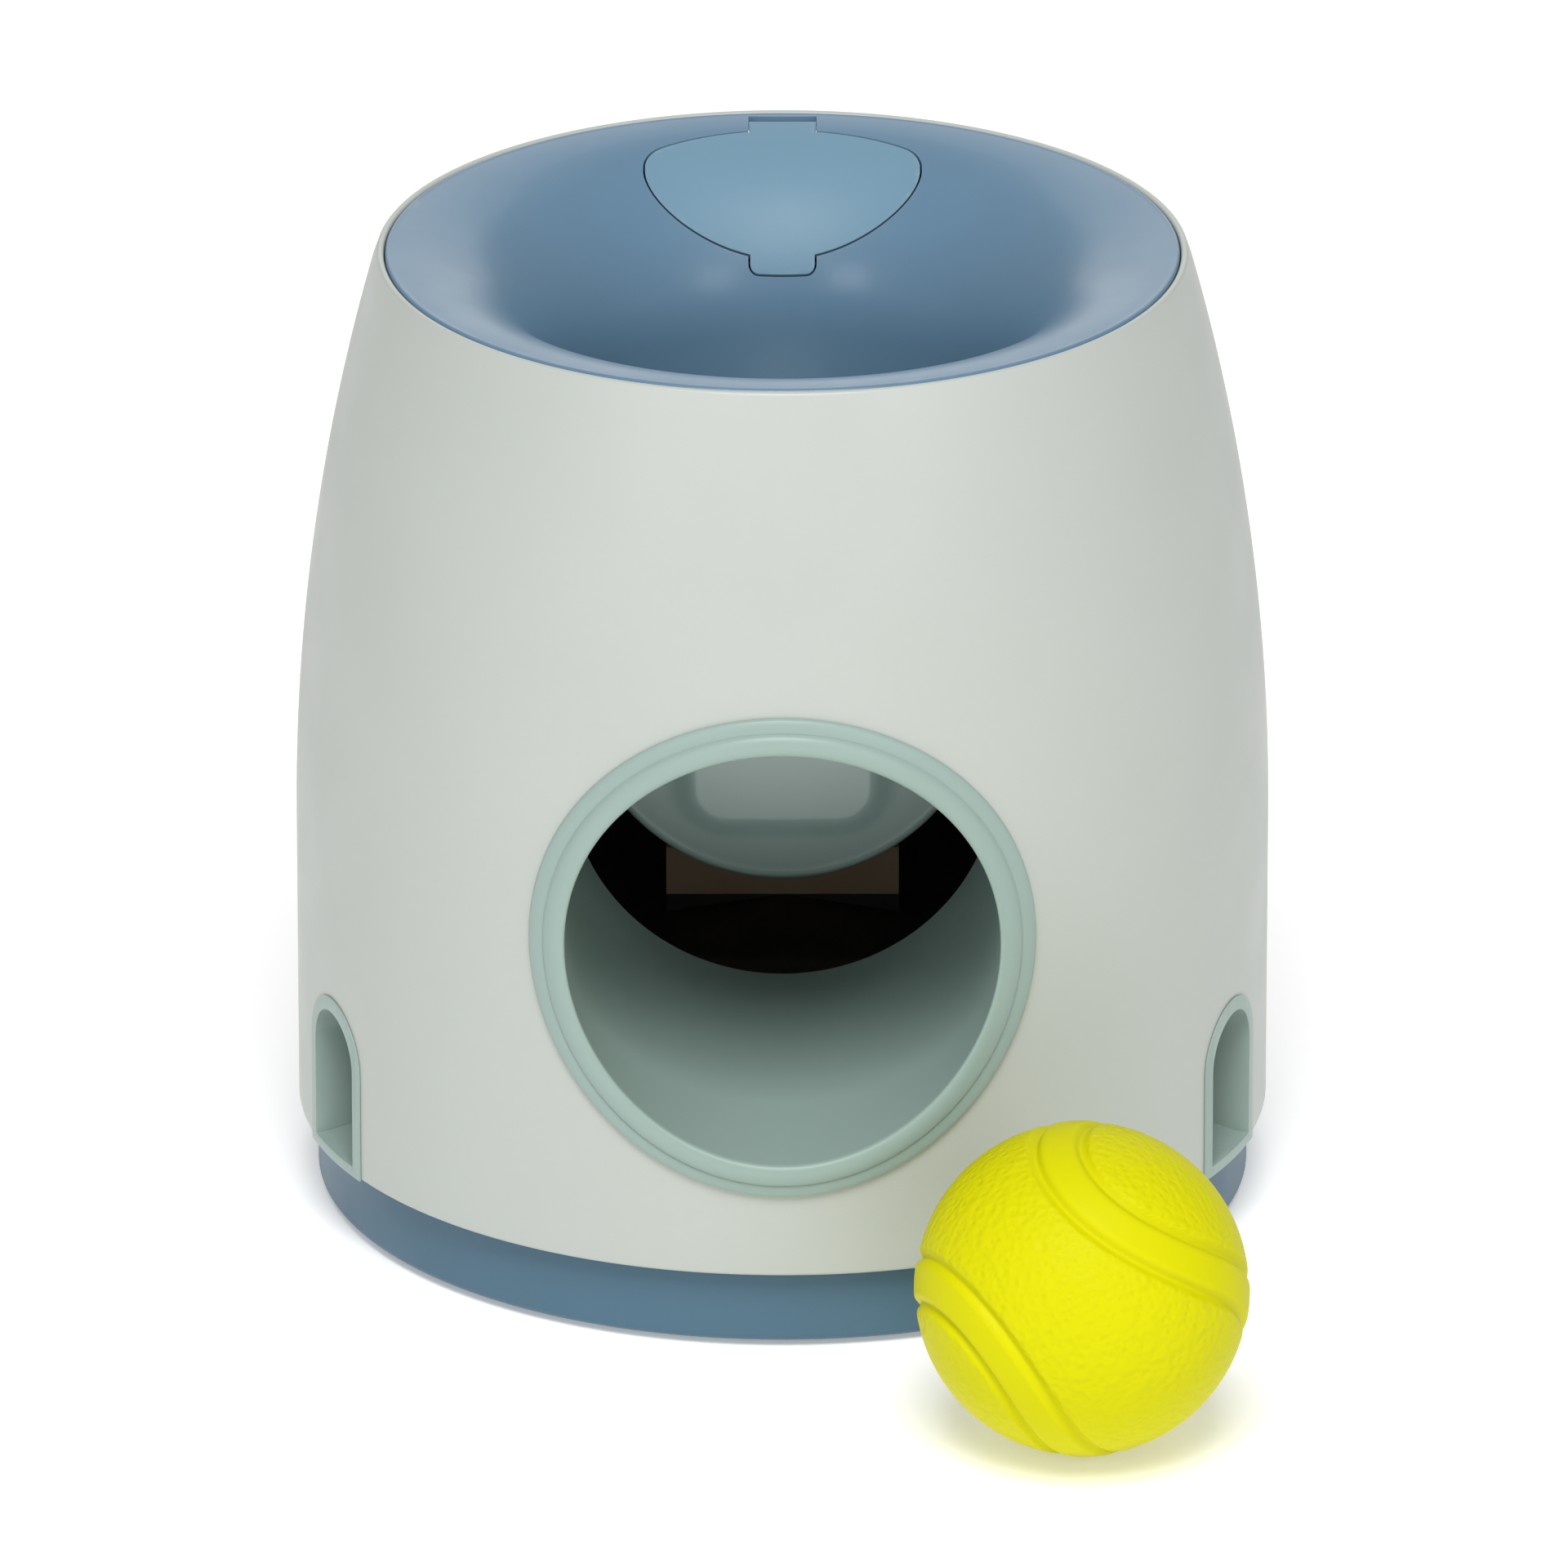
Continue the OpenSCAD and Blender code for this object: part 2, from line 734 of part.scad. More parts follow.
module base_pan() {
    pad_space = pad_d / 2 + seat_gap;
    color(blue_col)
        difference() {
            union() {
                rotate_extrude($fn = fine)
                    polygon([
                        [0, pad_t],
                        [pad_space, pad_t],
                        [pad_space, base_lift],
                        [base_r, base_lift],
                        [base_r, base_top],
                        [base_r - base_wall, base_top],
                        [base_r - base_wall, base_floor_top],
                        [0, base_floor_top]
                    ]);
                at_base_screws()
                    translate([0, 0, base_floor_top - 1])
                        cylinder(r = post_r, h = post_top - base_floor_top + 1);
            }
            at_base_screws() {
                cylinder(r = screw_r + seat_gap, h = far);
                cylinder(r = head_r + seat_gap, h = base_floor_top + head_h);
            }
            for (side = [-1, 1])
                at_outlet(side)
                    outlet_form(seat_gap, ramp_r - 20, shell_d);
        }
}

module base_screws() {
    color(steel_col)
        at_base_screws()
            translate([0, 0, base_floor_top + head_h])
                screw(lug_top - base_floor_top - head_h - 4);
}

module non_slip_pad() {
    color(rubber_col)
        cylinder(d = pad_d, h = pad_t, $fn = fine);
}

// Ramp under the trough, with a ridge that sends treats to both sides

// Draws a front-view outline out along the ramp's slope
module on_ramp(front, back) {
    multmatrix([
        [1, 0, 0, 0],
        [0, 1, 0, 0],
        [0, tan(ramp_slope), 1, ramp_ridge - ramp_line * tan(ramp_slope)]
    ])
        translate([0, back, 0])
            rotate([90, 0, 0])
                linear_extrude(back - front)
                    children();
}

module treat_ramp() {
    half = shell_d / 2;
    drop = half * tan(ramp_side_slope);
    sill = baffle_half_w * tan(ramp_side_slope);
    color(dark_col)
        difference() {
            intersection() {
                cylinder(r = ramp_r, h = far, $fn = fine);
                union() {
                    on_ramp(ramp_front, far / 2)
                        polygon([
                            [0, 0], [half, -drop], [half, -drop - ramp_t],
                            [0, -ramp_t], [-half, -drop - ramp_t], [-half, -drop]
                        ]);
                    // Level sill under the baffle
                    on_ramp(baffle_front, baffle_front + baffle_t)
                        polygon([
                            [-baffle_half_w, 0], [-baffle_half_w, -sill - ramp_t / 2], [0, -ramp_t / 2],
                            [baffle_half_w, -sill - ramp_t / 2], [baffle_half_w, 0]
                        ]);
                    translate([-half, ramp_front, ramp_z(half, ramp_front) - ramp_t])
                        cube([shell_d, ramp_t, ramp_wall_top - ramp_z(half, ramp_front) + ramp_t]);
                    for (spot = ramp_feet)
                        translate([spot[0], spot[1], base_floor_top])
                            cylinder(r = foot_r, h = ramp_z(spot[0], spot[1]) - base_floor_top - ramp_t / 2);
                }
            }
            for (side = [-1, 1])
                at_outlet(side)
                    outlet_form(side_gap, shell_d / 2 - outlet_len - side_gap, shell_d);
            at_base_screws() {
                cylinder(r = post_r + side_gap, h = lug_top + side_gap);
                translate([0, -post_r - side_gap, 0])
                    cube([shell_d, 2 * (post_r + side_gap), lug_top + side_gap]);
            }
        }
}

// Baffle that turns the falling treats to both sides
module treat_baffle() {
    color(baffle_col)
        on_ramp(baffle_front, baffle_front + baffle_t)
            translate([-baffle_half_w, seat_gap / 4])
                square([2 * baffle_half_w, baffle_h]);
}

// Treat lid and its hinge

module treat_lid() {
    color(lid_col)
        difference() {
            union() {
                intersection() {
                    rotate_extrude($fn = fine)
                        bell_section(lid_t);
                    union() {
                        lid_space(0);
                        translate([-tab_w / 2, lid_back - 2, 0])
                            cube([tab_w, hinge_y - lid_back + 2, far]);
                    }
                }
                x_rod(knuckle_d / 2, -tab_w / 2, tab_w / 2, hinge_y, hinge_z);
            }
            x_rod(hinge_pin_d / 2 + run_gap, -tab_w, tab_w, hinge_y, hinge_z);
        }
}

module lid_hinge_pin() {
    half = pin_end - seat_gap;
    color(steel_col)
        x_rod(hinge_pin_d / 2, -half, half, hinge_y, hinge_z);
}

// Trigger paddle and what turns with it

module on_paddle() {
    translate([0, paddle_y, paddle_z])
        rotate([paddle_slope, 0, 0])
            children();
}

module trigger_paddle() {
    dish_z = sqrt(pow(dish_r, 2) - pow(paddle_r, 2));
    barrel_s = (axle_y - paddle_y) * cos(paddle_slope) + (axle_z - paddle_z) * sin(paddle_slope);
    barrel_half = cheek_in - side_gap;
    block_end = barrel_s - barrel_d / 2 + 2;
    color(sage_col)
        difference() {
            union() {
                on_paddle()
                    intersection() {
                        translate([-paddle_r, 0, -far / 2])
                            cube([2 * paddle_r, barrel_s, far]);
                        difference() {
                            union() {
                                translate([0, paddle_r, 0])
                                    rotate_extrude($fn = fine)
                                        intersection() {
                                            translate([0, dish_z])
                                                difference() {
                                                    circle(dish_r + paddle_t, $fn = 4 * fine);
                                                    circle(dish_r, $fn = 4 * fine);
                                                }
                                            translate([0, -far / 2])
                                                square([paddle_r, far / 2]);
                                        }
                                translate([-pocket_half_w - paddle_t, pocket_start - paddle_t,
                                    -pocket_depth - paddle_t])
                                    cube([2 * pocket_half_w + 2 * paddle_t,
                                        block_end - pocket_start + 2 * paddle_t, pocket_depth - 1]);
                            }
                            translate([-pocket_half_w, pocket_start, -pocket_depth])
                                cube([2 * pocket_half_w, block_end - pocket_start, far]);
                            translate([0, paddle_r, dish_z])
                                sphere(dish_r, $fn = fine);
                        }
                    }
                x_rod(barrel_d / 2, -barrel_half, barrel_half, axle_y, axle_z);
            }
            x_rod(shaft_r + eps, -far / 2, far / 2, axle_y, axle_z);
        }
}

module paddle_axle() {
    color(steel_col)
        x_rod(shaft_r, -shaft_end, shaft_end, axle_y, axle_z);
}

module sector_gear() {
    color(dark_col)
        translate([0, axle_y, axle_z])
            difference() {
                side_plate(gear_x, gear_end)
                    union() {
                        intersection() {
                            rotate(mesh_angle)
                                gear_outline(sector_teeth, backlash / 2);
                            wedge(2 * sector_r, sector_low, sector_high);
                        }
                        circle(bush_r + hub_wall);
                    }
                x_rod(shaft_r + eps, 0, far, 0, 0);
            }
}

module axle_clips() {
    color(steel_col)
        translate([0, axle_y, axle_z])
            shaft_rings();
}

// A pair of retaining rings on a shaft
module shaft_rings() {
    for (x0 = [-clip_x - clip_t, clip_x])
        difference() {
            x_rod(clip_r, x0, x0 + clip_t, 0, 0);
            x_rod(shaft_r + eps, -far, far, 0, 0);
        }
}

// Metering drum and what turns with it

module metering_drum() {
    reach = drum_d / 2 - drum_pocket_in;
    inner = drum_half - drum_rib;
    color(dark_col)
        difference() {
            x_rod(drum_d / 2, -drum_half, drum_half, drum_y, drum_z);
            x_rod(shaft_r + eps, -far, far, drum_y, drum_z);
            for (i = [0:pocket_count - 1])
                let (a = 90 + i * 360 / pocket_count)
                    x_rod(drum_pocket_r, -inner, inner, drum_y + reach * cos(a), drum_z + reach * sin(a));
        }
}

module drum_shaft() {
    color(steel_col)
        x_rod(shaft_r, -shaft_end, shaft_end, drum_y, drum_z);
}

module drum_pinion() {
    color(dark_col)
        translate([0, drum_y, drum_z])
            difference() {
                side_plate(gear_x, gear_end)
                    rotate(mesh_angle + 180 + 180 / pinion_teeth)
                        gear_outline(pinion_teeth, backlash / 2);
                x_rod(shaft_r + eps, 0, far, 0, 0);
            }
}

module shaft_clips() {
    color(steel_col)
        translate([0, drum_y, drum_z])
            shaft_rings();
}

// Fixed mechanism parts

// Flanged bushes in both cheeks, on one shaft line
module bush_pair(y, z) {
    for (side = [-1, 1])
        translate([0, y, z])
            mirror([side < 0 ? 1 : 0, 0, 0])
                difference() {
                    union() {
                        x_rod(bush_r, cheek_in, cheek_out + eps, 0, 0);
                        x_rod(flange_r, cheek_out, flange_out, 0, 0);
                    }
                    x_rod(shaft_r + run_gap, 0, far, 0, 0);
                }
}

module axle_bushes() {
    color(bronze_col)
        bush_pair(axle_y, axle_z);
}

module drum_bushes() {
    color(bronze_col)
        bush_pair(drum_y, drum_z);
}

function stop_point(i) = [axle_y, axle_z] + stop_at_r * [cos(stop_angles[i]), sin(stop_angles[i])];

module cheek(side) {
    lobe = bush_r + cheek_lobe;
    spots = [
        [axle_y, axle_z, lobe],
        [drum_y, drum_z, lobe],
        [stop_point(0)[0], stop_point(0)[1], stop_d / 2 + stop_pad],
        [stop_point(1)[0], stop_point(1)[1], stop_d / 2 + stop_pad],
        [cheek_screws_at[0][0], cheek_screws_at[0][1], cheek_pad],
        [cheek_screws_at[1][0], cheek_screws_at[1][1], cheek_pad]
    ];
    color(dark_col)
        mirror([side < 0 ? 1 : 0, 0, 0])
            difference() {
                side_plate(cheek_in, cheek_out)
                    hull()
                        for (spot = spots)
                            translate([spot[0], spot[1]])
                                circle(spot[2], $fn = 32);
                for (at = [[axle_y, axle_z], [drum_y, drum_z]])
                    x_rod(bush_r + eps, 0, far, at[0], at[1]);
                for (at = cheek_screws_at)
                    x_rod(screw_r + seat_gap, 0, far, at[0], at[1]);
            }
}

module left_cheek() {
    cheek(-1);
}

module right_cheek() {
    cheek(1);
}

module stop_bumpers() {
    color(rubber_col)
        for (i = [0, 1])
            x_rod(stop_d / 2, cheek_out, gear_end, stop_point(i)[0], stop_point(i)[1]);
}

module cheek_screws() {
    color(steel_col)
        for (side = [-1, 1], at = cheek_screws_at)
            translate([side * cheek_out, at[0], at[1]])
                rotate([0, -side * 90, 0])
                    screw(cheek_screw_len);
}

// Side view of the hopper, moved inwards by a distance
module hopper_side_view(inset, low) {
    polygon([
        [hopper_front + inset, hopper_neck_z],
        [hopper_slot[0] + inset, hopper_slot_z],
        [hopper_slot[0] + inset, low],
        [hopper_slot[1] + hopper_wall - inset, low],
        [hopper_slot[1] + hopper_wall - inset, hopper_slot_z],
        [hopper_back_r, hopper_neck_z],
        [hopper_back_r, shell_top],
        [hopper_front + inset, shell_top]
    ]);
}

module treat_hopper() {
    color(dark_col)
        difference() {
            union() {
                intersection() {
                    side_plate(-cheek_in, cheek_in)
                        hopper_side_view(0, hopper_bottom);
                    cylinder(r = hopper_back_r, h = shell_top, $fn = fine);
                }
                for (side = [0, 1])
                    mirror([side, 0, 0])
                        translate([cheek_in - hopper_side / 2, boss_at[1] - boss_r - 1, lug_z])
                            cube([2 * boss_r + boss_gap + hopper_side / 2 + 1, 2 * boss_r + 2 * boss_set, lug_t]);
            }
            intersection() {
                side_plate(-cheek_in + hopper_side, cheek_in - hopper_side)
                    hopper_side_view(hopper_wall, hopper_bottom - 1);
                cylinder(r = hopper_back_r - hopper_wall, h = far, $fn = fine);
            }
            x_rod(drum_d / 2 + drum_gap, -far, far, drum_y, drum_z);
            rotate_extrude($fn = fine)
                difference() {
                    translate([0, bell_z])
                        square([bowl_r, far]);
                    translate([bowl_r, bell_z])
                        circle(bell_r - bowl_wall - seat_gap, $fn = fine);
                }
            translate([-pin_end - side_gap, ear_front - side_gap, ear_bottom - side_gap])
                cube([2 * (pin_end + side_gap), far, far]);
            for (side = [-1, 1]) {
                translate([side * boss_at[0], boss_at[1], lug_z - 1])
                    cylinder(r = screw_r + seat_gap, h = lug_t + 2);
                for (at = cheek_screws_at)
                    x_rod(screw_r, min(side * cheek_in, side * (cheek_in - hopper_side - 1)),
                        max(side * cheek_in, side * (cheek_in - hopper_side - 1)), at[0], at[1]);
            }
        }
}

module hopper_screws() {
    color(steel_col)
        for (side = [-1, 1])
            translate([side * boss_at[0], boss_at[1], lug_z])
                screw(lug_t + boss_thread);
}

// Torsion spring on the axle, outside the left cheek

module return_spring() {
    turn_steps = 16;
    steps = spring_turns * turn_steps;
    coil_r = shaft_r + side_gap + spring_wire;
    pitch = (gear_w - spring_wire) / spring_turns;
    sides = 6;
    start_x = flange_out + side_gap + spring_wire / 2;
    function centre(i) = [
        -start_x - pitch * i / turn_steps,
        axle_y + coil_r * cos(360 * i / turn_steps),
        axle_z + coil_r * sin(360 * i / turn_steps)
    ];
    function ring(i) = [
        for (k = [0:sides - 1])
            let (a = 360 * i / turn_steps, b = 360 * k / sides, w = spring_wire / 2)
                centre(i) + w * [sin(b), cos(b) * cos(a), cos(b) * sin(a)]
    ];
    points = [for (i = [0:steps]) each ring(i)];
    faces = concat(
        [[for (k = [0:sides - 1]) k]],
        [
            for (i = [0:steps - 1], k = [0:sides - 1])
                let (n = (k + 1) % sides, a = i * sides, b = a + sides)
                    each [[a + k, b + k, b + n], [a + k, b + n, a + n]]
        ],
        [[for (k = [sides - 1:-1:0]) steps * sides + k]]
    );
    color(steel_col)
        polyhedron(points, faces);
}

module ball() {
    color(ball_col)
        rotate([0, 0, ball_angle - 90])
            translate([ball_at, 0, ball_d / 2])
                sphere(d = ball_d, $fn = 180);
}

outer_shell();
top_bowl();
treat_lid();
lid_hinge_pin();
ball_tube();
left_outlet();
right_outlet();
trigger_paddle();
paddle_axle();
left_cheek();
right_cheek();
axle_bushes();
treat_hopper();
hopper_screws();
cheek_screws();
metering_drum();
drum_shaft();
drum_bushes();
sector_gear();
drum_pinion();
return_spring();
stop_bumpers();
axle_clips();
shaft_clips();
treat_ramp();
treat_baffle();
base_pan();
base_screws();
non_slip_pad();
ball();
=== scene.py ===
"""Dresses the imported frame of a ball-triggered treat feeder: refined shapes, finishes, studio and camera.

All sizes are in metres, in the part's own frame: +Z is up, -Y is the front, and the feeder's axis is
X = Y = 0.
"""

import contextlib
import json
import logging
import math
from dataclasses import dataclass
from enum import Enum
from typing import Callable, Iterator, Sequence

import bpy
from mathutils import Euler, Matrix, Vector
from mathutils.kdtree import KDTree

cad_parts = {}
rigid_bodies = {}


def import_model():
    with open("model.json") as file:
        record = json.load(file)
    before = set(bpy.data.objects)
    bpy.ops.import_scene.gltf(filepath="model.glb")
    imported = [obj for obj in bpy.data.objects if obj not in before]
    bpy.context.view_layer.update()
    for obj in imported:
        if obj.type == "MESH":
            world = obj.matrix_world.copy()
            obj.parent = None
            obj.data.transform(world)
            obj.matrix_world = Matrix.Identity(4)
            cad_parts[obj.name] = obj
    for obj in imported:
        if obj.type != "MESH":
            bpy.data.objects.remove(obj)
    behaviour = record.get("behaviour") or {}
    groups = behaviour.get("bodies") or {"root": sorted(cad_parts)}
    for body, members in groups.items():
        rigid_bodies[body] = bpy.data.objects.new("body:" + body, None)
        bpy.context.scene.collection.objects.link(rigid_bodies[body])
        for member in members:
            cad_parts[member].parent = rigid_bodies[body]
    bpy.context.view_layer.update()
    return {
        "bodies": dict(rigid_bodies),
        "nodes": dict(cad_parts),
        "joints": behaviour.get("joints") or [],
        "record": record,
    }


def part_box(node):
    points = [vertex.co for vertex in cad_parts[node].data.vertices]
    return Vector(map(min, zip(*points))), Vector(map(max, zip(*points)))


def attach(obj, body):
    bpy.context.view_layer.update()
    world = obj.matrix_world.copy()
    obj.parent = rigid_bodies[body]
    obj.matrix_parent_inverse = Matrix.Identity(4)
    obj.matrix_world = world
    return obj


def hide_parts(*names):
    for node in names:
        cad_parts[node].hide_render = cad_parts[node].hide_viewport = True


log = logging.getLogger("feeder")

Point2 = tuple[float, float]
Colour = tuple[float, float, float]

# Points closer than this become one.
MERGE = 1e-6
# Reaches past the whole feeder, for cutters that go right through.
FAR = 0.3
# How far other cutters stand out of what they cut.
OVER = 0.01
# Where the bowl's rolled mouth ends under its rim, in degrees about the roll's centre.
MOUTH_END = 91.2


def deselect() -> None:
    """Leaves edit mode and deselects every object."""
    if bpy.context.object and bpy.context.object.mode != "OBJECT":
        bpy.ops.object.mode_set(mode="OBJECT")
    bpy.ops.object.select_all(action="DESELECT")


def select_only(obj: bpy.types.Object) -> None:
    """Makes one object the selected and active one."""
    deselect()
    obj.select_set(True)
    bpy.context.view_layer.objects.active = obj


@contextlib.contextmanager
def editing(obj: bpy.types.Object) -> Iterator[None]:
    """Edit mode on one object, with everything in it selected.

    Args:
        obj: The mesh object to edit.
    """
    select_only(obj)
    bpy.ops.object.mode_set(mode="EDIT")
    bpy.ops.mesh.select_all(action="SELECT")
    yield
    bpy.ops.object.mode_set(mode="OBJECT")


def settle(obj: bpy.types.Object, name: str) -> bpy.types.Object:
    """Names a new primitive and moves its place into its mesh.

    Args:
        obj: The object that was just added.
        name: Its name in the scene.

    Returns:
        The same object, at the origin with no rotation or scale.
    """
    obj.name = name
    obj.data.name = name
    select_only(obj)
    bpy.ops.object.transform_apply(location=True, rotation=True, scale=True)
    return obj


def clean(obj: bpy.types.Object) -> bpy.types.Object:
    """Merges doubled points and turns all faces outwards."""
    with editing(obj):
        bpy.ops.mesh.remove_doubles(threshold=MERGE)
        bpy.ops.mesh.normals_make_consistent(inside=False)
    return obj


def lathe(
        name: str, section: Sequence[Point2], segments: int = 256, closed: bool = True) -> bpy.types.Object:
    """Turns a half section about Z by extruding and scaling a ring from station to station.

    Args:
        name: Name of the new object.
        section: Radius and height of each station.
        segments: Points around the axis.
        closed: Whether the last station meets the first. Otherwise both ends are filled.

    Returns:
        The new object.
    """
    deselect()
    radius, height = section[0]
    bpy.ops.mesh.primitive_circle_add(vertices=segments, radius=radius, location=(0, 0, height))
    obj = settle(bpy.context.object, name)
    stations = list(section[1:]) + ([section[0]] if closed else [])
    with editing(obj):
        for r, z in stations:
            bpy.ops.mesh.extrude_region_move(TRANSFORM_OT_translate={"value": (0, 0, z - height)})
            bpy.ops.transform.resize(value=(r / radius, r / radius, 1), center_override=(0, 0, z))
            radius, height = r, z
        bpy.ops.mesh.select_all(action="SELECT")
        if not closed:
            bpy.ops.mesh.fill_holes(sides=0)
    return clean(obj)


def plate(name: str, outline: Sequence[Point2], low: float, high: float) -> bpy.types.Object:
    """Extrudes a plan outline upwards.

    Args:
        name: Name of the new object.
        outline: Corners of the outline, counter-clockwise from above.
        low: Height of the lower face.
        high: Height of the upper face.

    Returns:
        The new object.
    """
    deselect()
    bpy.ops.mesh.primitive_circle_add(vertices=len(outline), radius=1, fill_type="NGON")
    obj = settle(bpy.context.object, name)
    for vertex, (x, y) in zip(obj.data.vertices, outline):
        vertex.co = (x, y, low)
    with editing(obj):
        bpy.ops.mesh.extrude_region_move(TRANSFORM_OT_translate={"value": (0, 0, high - low)})
        bpy.ops.mesh.select_all(action="SELECT")
        bpy.ops.mesh.normals_make_consistent(inside=False)
    return obj


def block(name: str, low: Sequence[float], high: Sequence[float]) -> bpy.types.Object:
    """A box between two corners."""
    x0, y0, z0 = low
    x1, y1, z1 = high
    return plate(name, [(x0, y0), (x1, y0), (x1, y1), (x0, y1)], z0, z1)


def rod(
        name: str, radius: float, start: Sequence[float], end: Sequence[float],
        vertices: int = 48) -> bpy.types.Object:
    """A cylinder between two points.

    Args:
        name: Name of the new object.
        radius: Its radius.
        start: Centre of one end.
        end: Centre of the other end.
        vertices: Points around the axis.

    Returns:
        The new object.
    """
    deselect()
    a, b = Vector(start), Vector(end)
    turn = (b - a).to_track_quat("Z", "Y").to_euler()
    bpy.ops.mesh.primitive_cylinder_add(
        vertices=vertices, radius=radius, depth=(b - a).length, location=(a + b) / 2, rotation=turn)
    return settle(bpy.context.object, name)


def turned(obj: bpy.types.Object, matrix: Matrix) -> bpy.types.Object:
    """Moves a mesh's points by a matrix and leaves the object at the origin."""
    obj.data.transform(matrix)
    obj.data.update()
    return obj


def reshaped(obj: bpy.types.Object, rule: Callable[[Vector], Vector]) -> bpy.types.Object:
    """Moves every point of a mesh to where a rule puts it."""
    for vertex in obj.data.vertices:
        vertex.co = rule(vertex.co)
    obj.data.update()
    return obj


def apply_modifier(obj: bpy.types.Object, kind: str, **settings: object) -> bpy.types.Object:
    """Adds a modifier, sets it and applies it.

    Args:
        obj: The object to change.
        kind: The modifier's type.
        **settings: The modifier's values by name.

    Returns:
        The same object.
    """
    select_only(obj)
    modifier = obj.modifiers.new(kind.title(), kind)
    for key, value in settings.items():
        setattr(modifier, key, value)
    bpy.ops.object.modifier_apply(modifier=modifier.name)
    return obj


class Cut(Enum):
    """Ways to combine two solids."""

    AWAY = "DIFFERENCE"
    WITH = "UNION"
    INSIDE = "INTERSECT"


def carve(obj: bpy.types.Object, way: Cut, *tools: bpy.types.Object) -> bpy.types.Object:
    """Combines a solid with others, which are used up.

    Args:
        obj: The solid that stays.
        way: How they are combined.
        *tools: The other solids.

    Returns:
        The first solid.
    """
    for tool in tools:
        apply_modifier(obj, "BOOLEAN", operation=way.value, object=tool, solver="EXACT")
        bpy.data.objects.remove(tool, do_unlink=True)
    return clean(obj)


def rounded(
        obj: bpy.types.Object, width: float, segments: int = 3, angle: float = 40.0) -> bpy.types.Object:
    """Rounds a solid's sharp edges.

    Args:
        obj: The solid.
        width: Width of the rounding.
        segments: Faces across it.
        angle: Edges sharper than this many degrees are rounded.

    Returns:
        The same object.
    """
    apply_modifier(
        obj, "BEVEL", width=width, segments=segments, limit_method="ANGLE",
        angle_limit=math.radians(angle), use_clamp_overlap=True, miter_outer="MITER_ARC")
    return clean(obj)


def shaded(obj: bpy.types.Object, angle: float = 35.0) -> bpy.types.Object:
    """Shades a mesh smooth, with creases where faces meet at more than an angle in degrees."""
    select_only(obj)
    bpy.ops.object.shade_smooth_by_angle(angle=math.radians(angle))
    return obj


def arc(centre: Point2, radius: float, start: float, end: float, steps: int) -> list[Point2]:
    """Points on an arc.

    Args:
        centre: The arc's centre.
        radius: The arc's radius.
        start: Angle of the first point, in degrees.
        end: Angle of the last point, in degrees.
        steps: Spans between the points.

    Returns:
        The points, both ends included.
    """
    angles = [math.radians(start + (end - start) * i / steps) for i in range(steps + 1)]
    return [(centre[0] + radius * math.cos(a), centre[1] + radius * math.sin(a)) for a in angles]


def span(start: float, end: float, steps: int) -> list[float]:
    """Evenly spaced values from start to end, both included."""
    return [start + (end - start) * i / steps for i in range(steps + 1)]


def mirrored(right: Sequence[Point2]) -> list[Point2]:
    """The left half that belongs to the right half of an outline, from its last point back."""
    return [(-x, y) for x, y in reversed(right)]


def ease(value: float) -> float:
    """A smooth step from 0 to 1 as the value goes from 0 to 1."""
    t = min(1.0, max(0.0, value))
    return t * t * (3 - 2 * t)


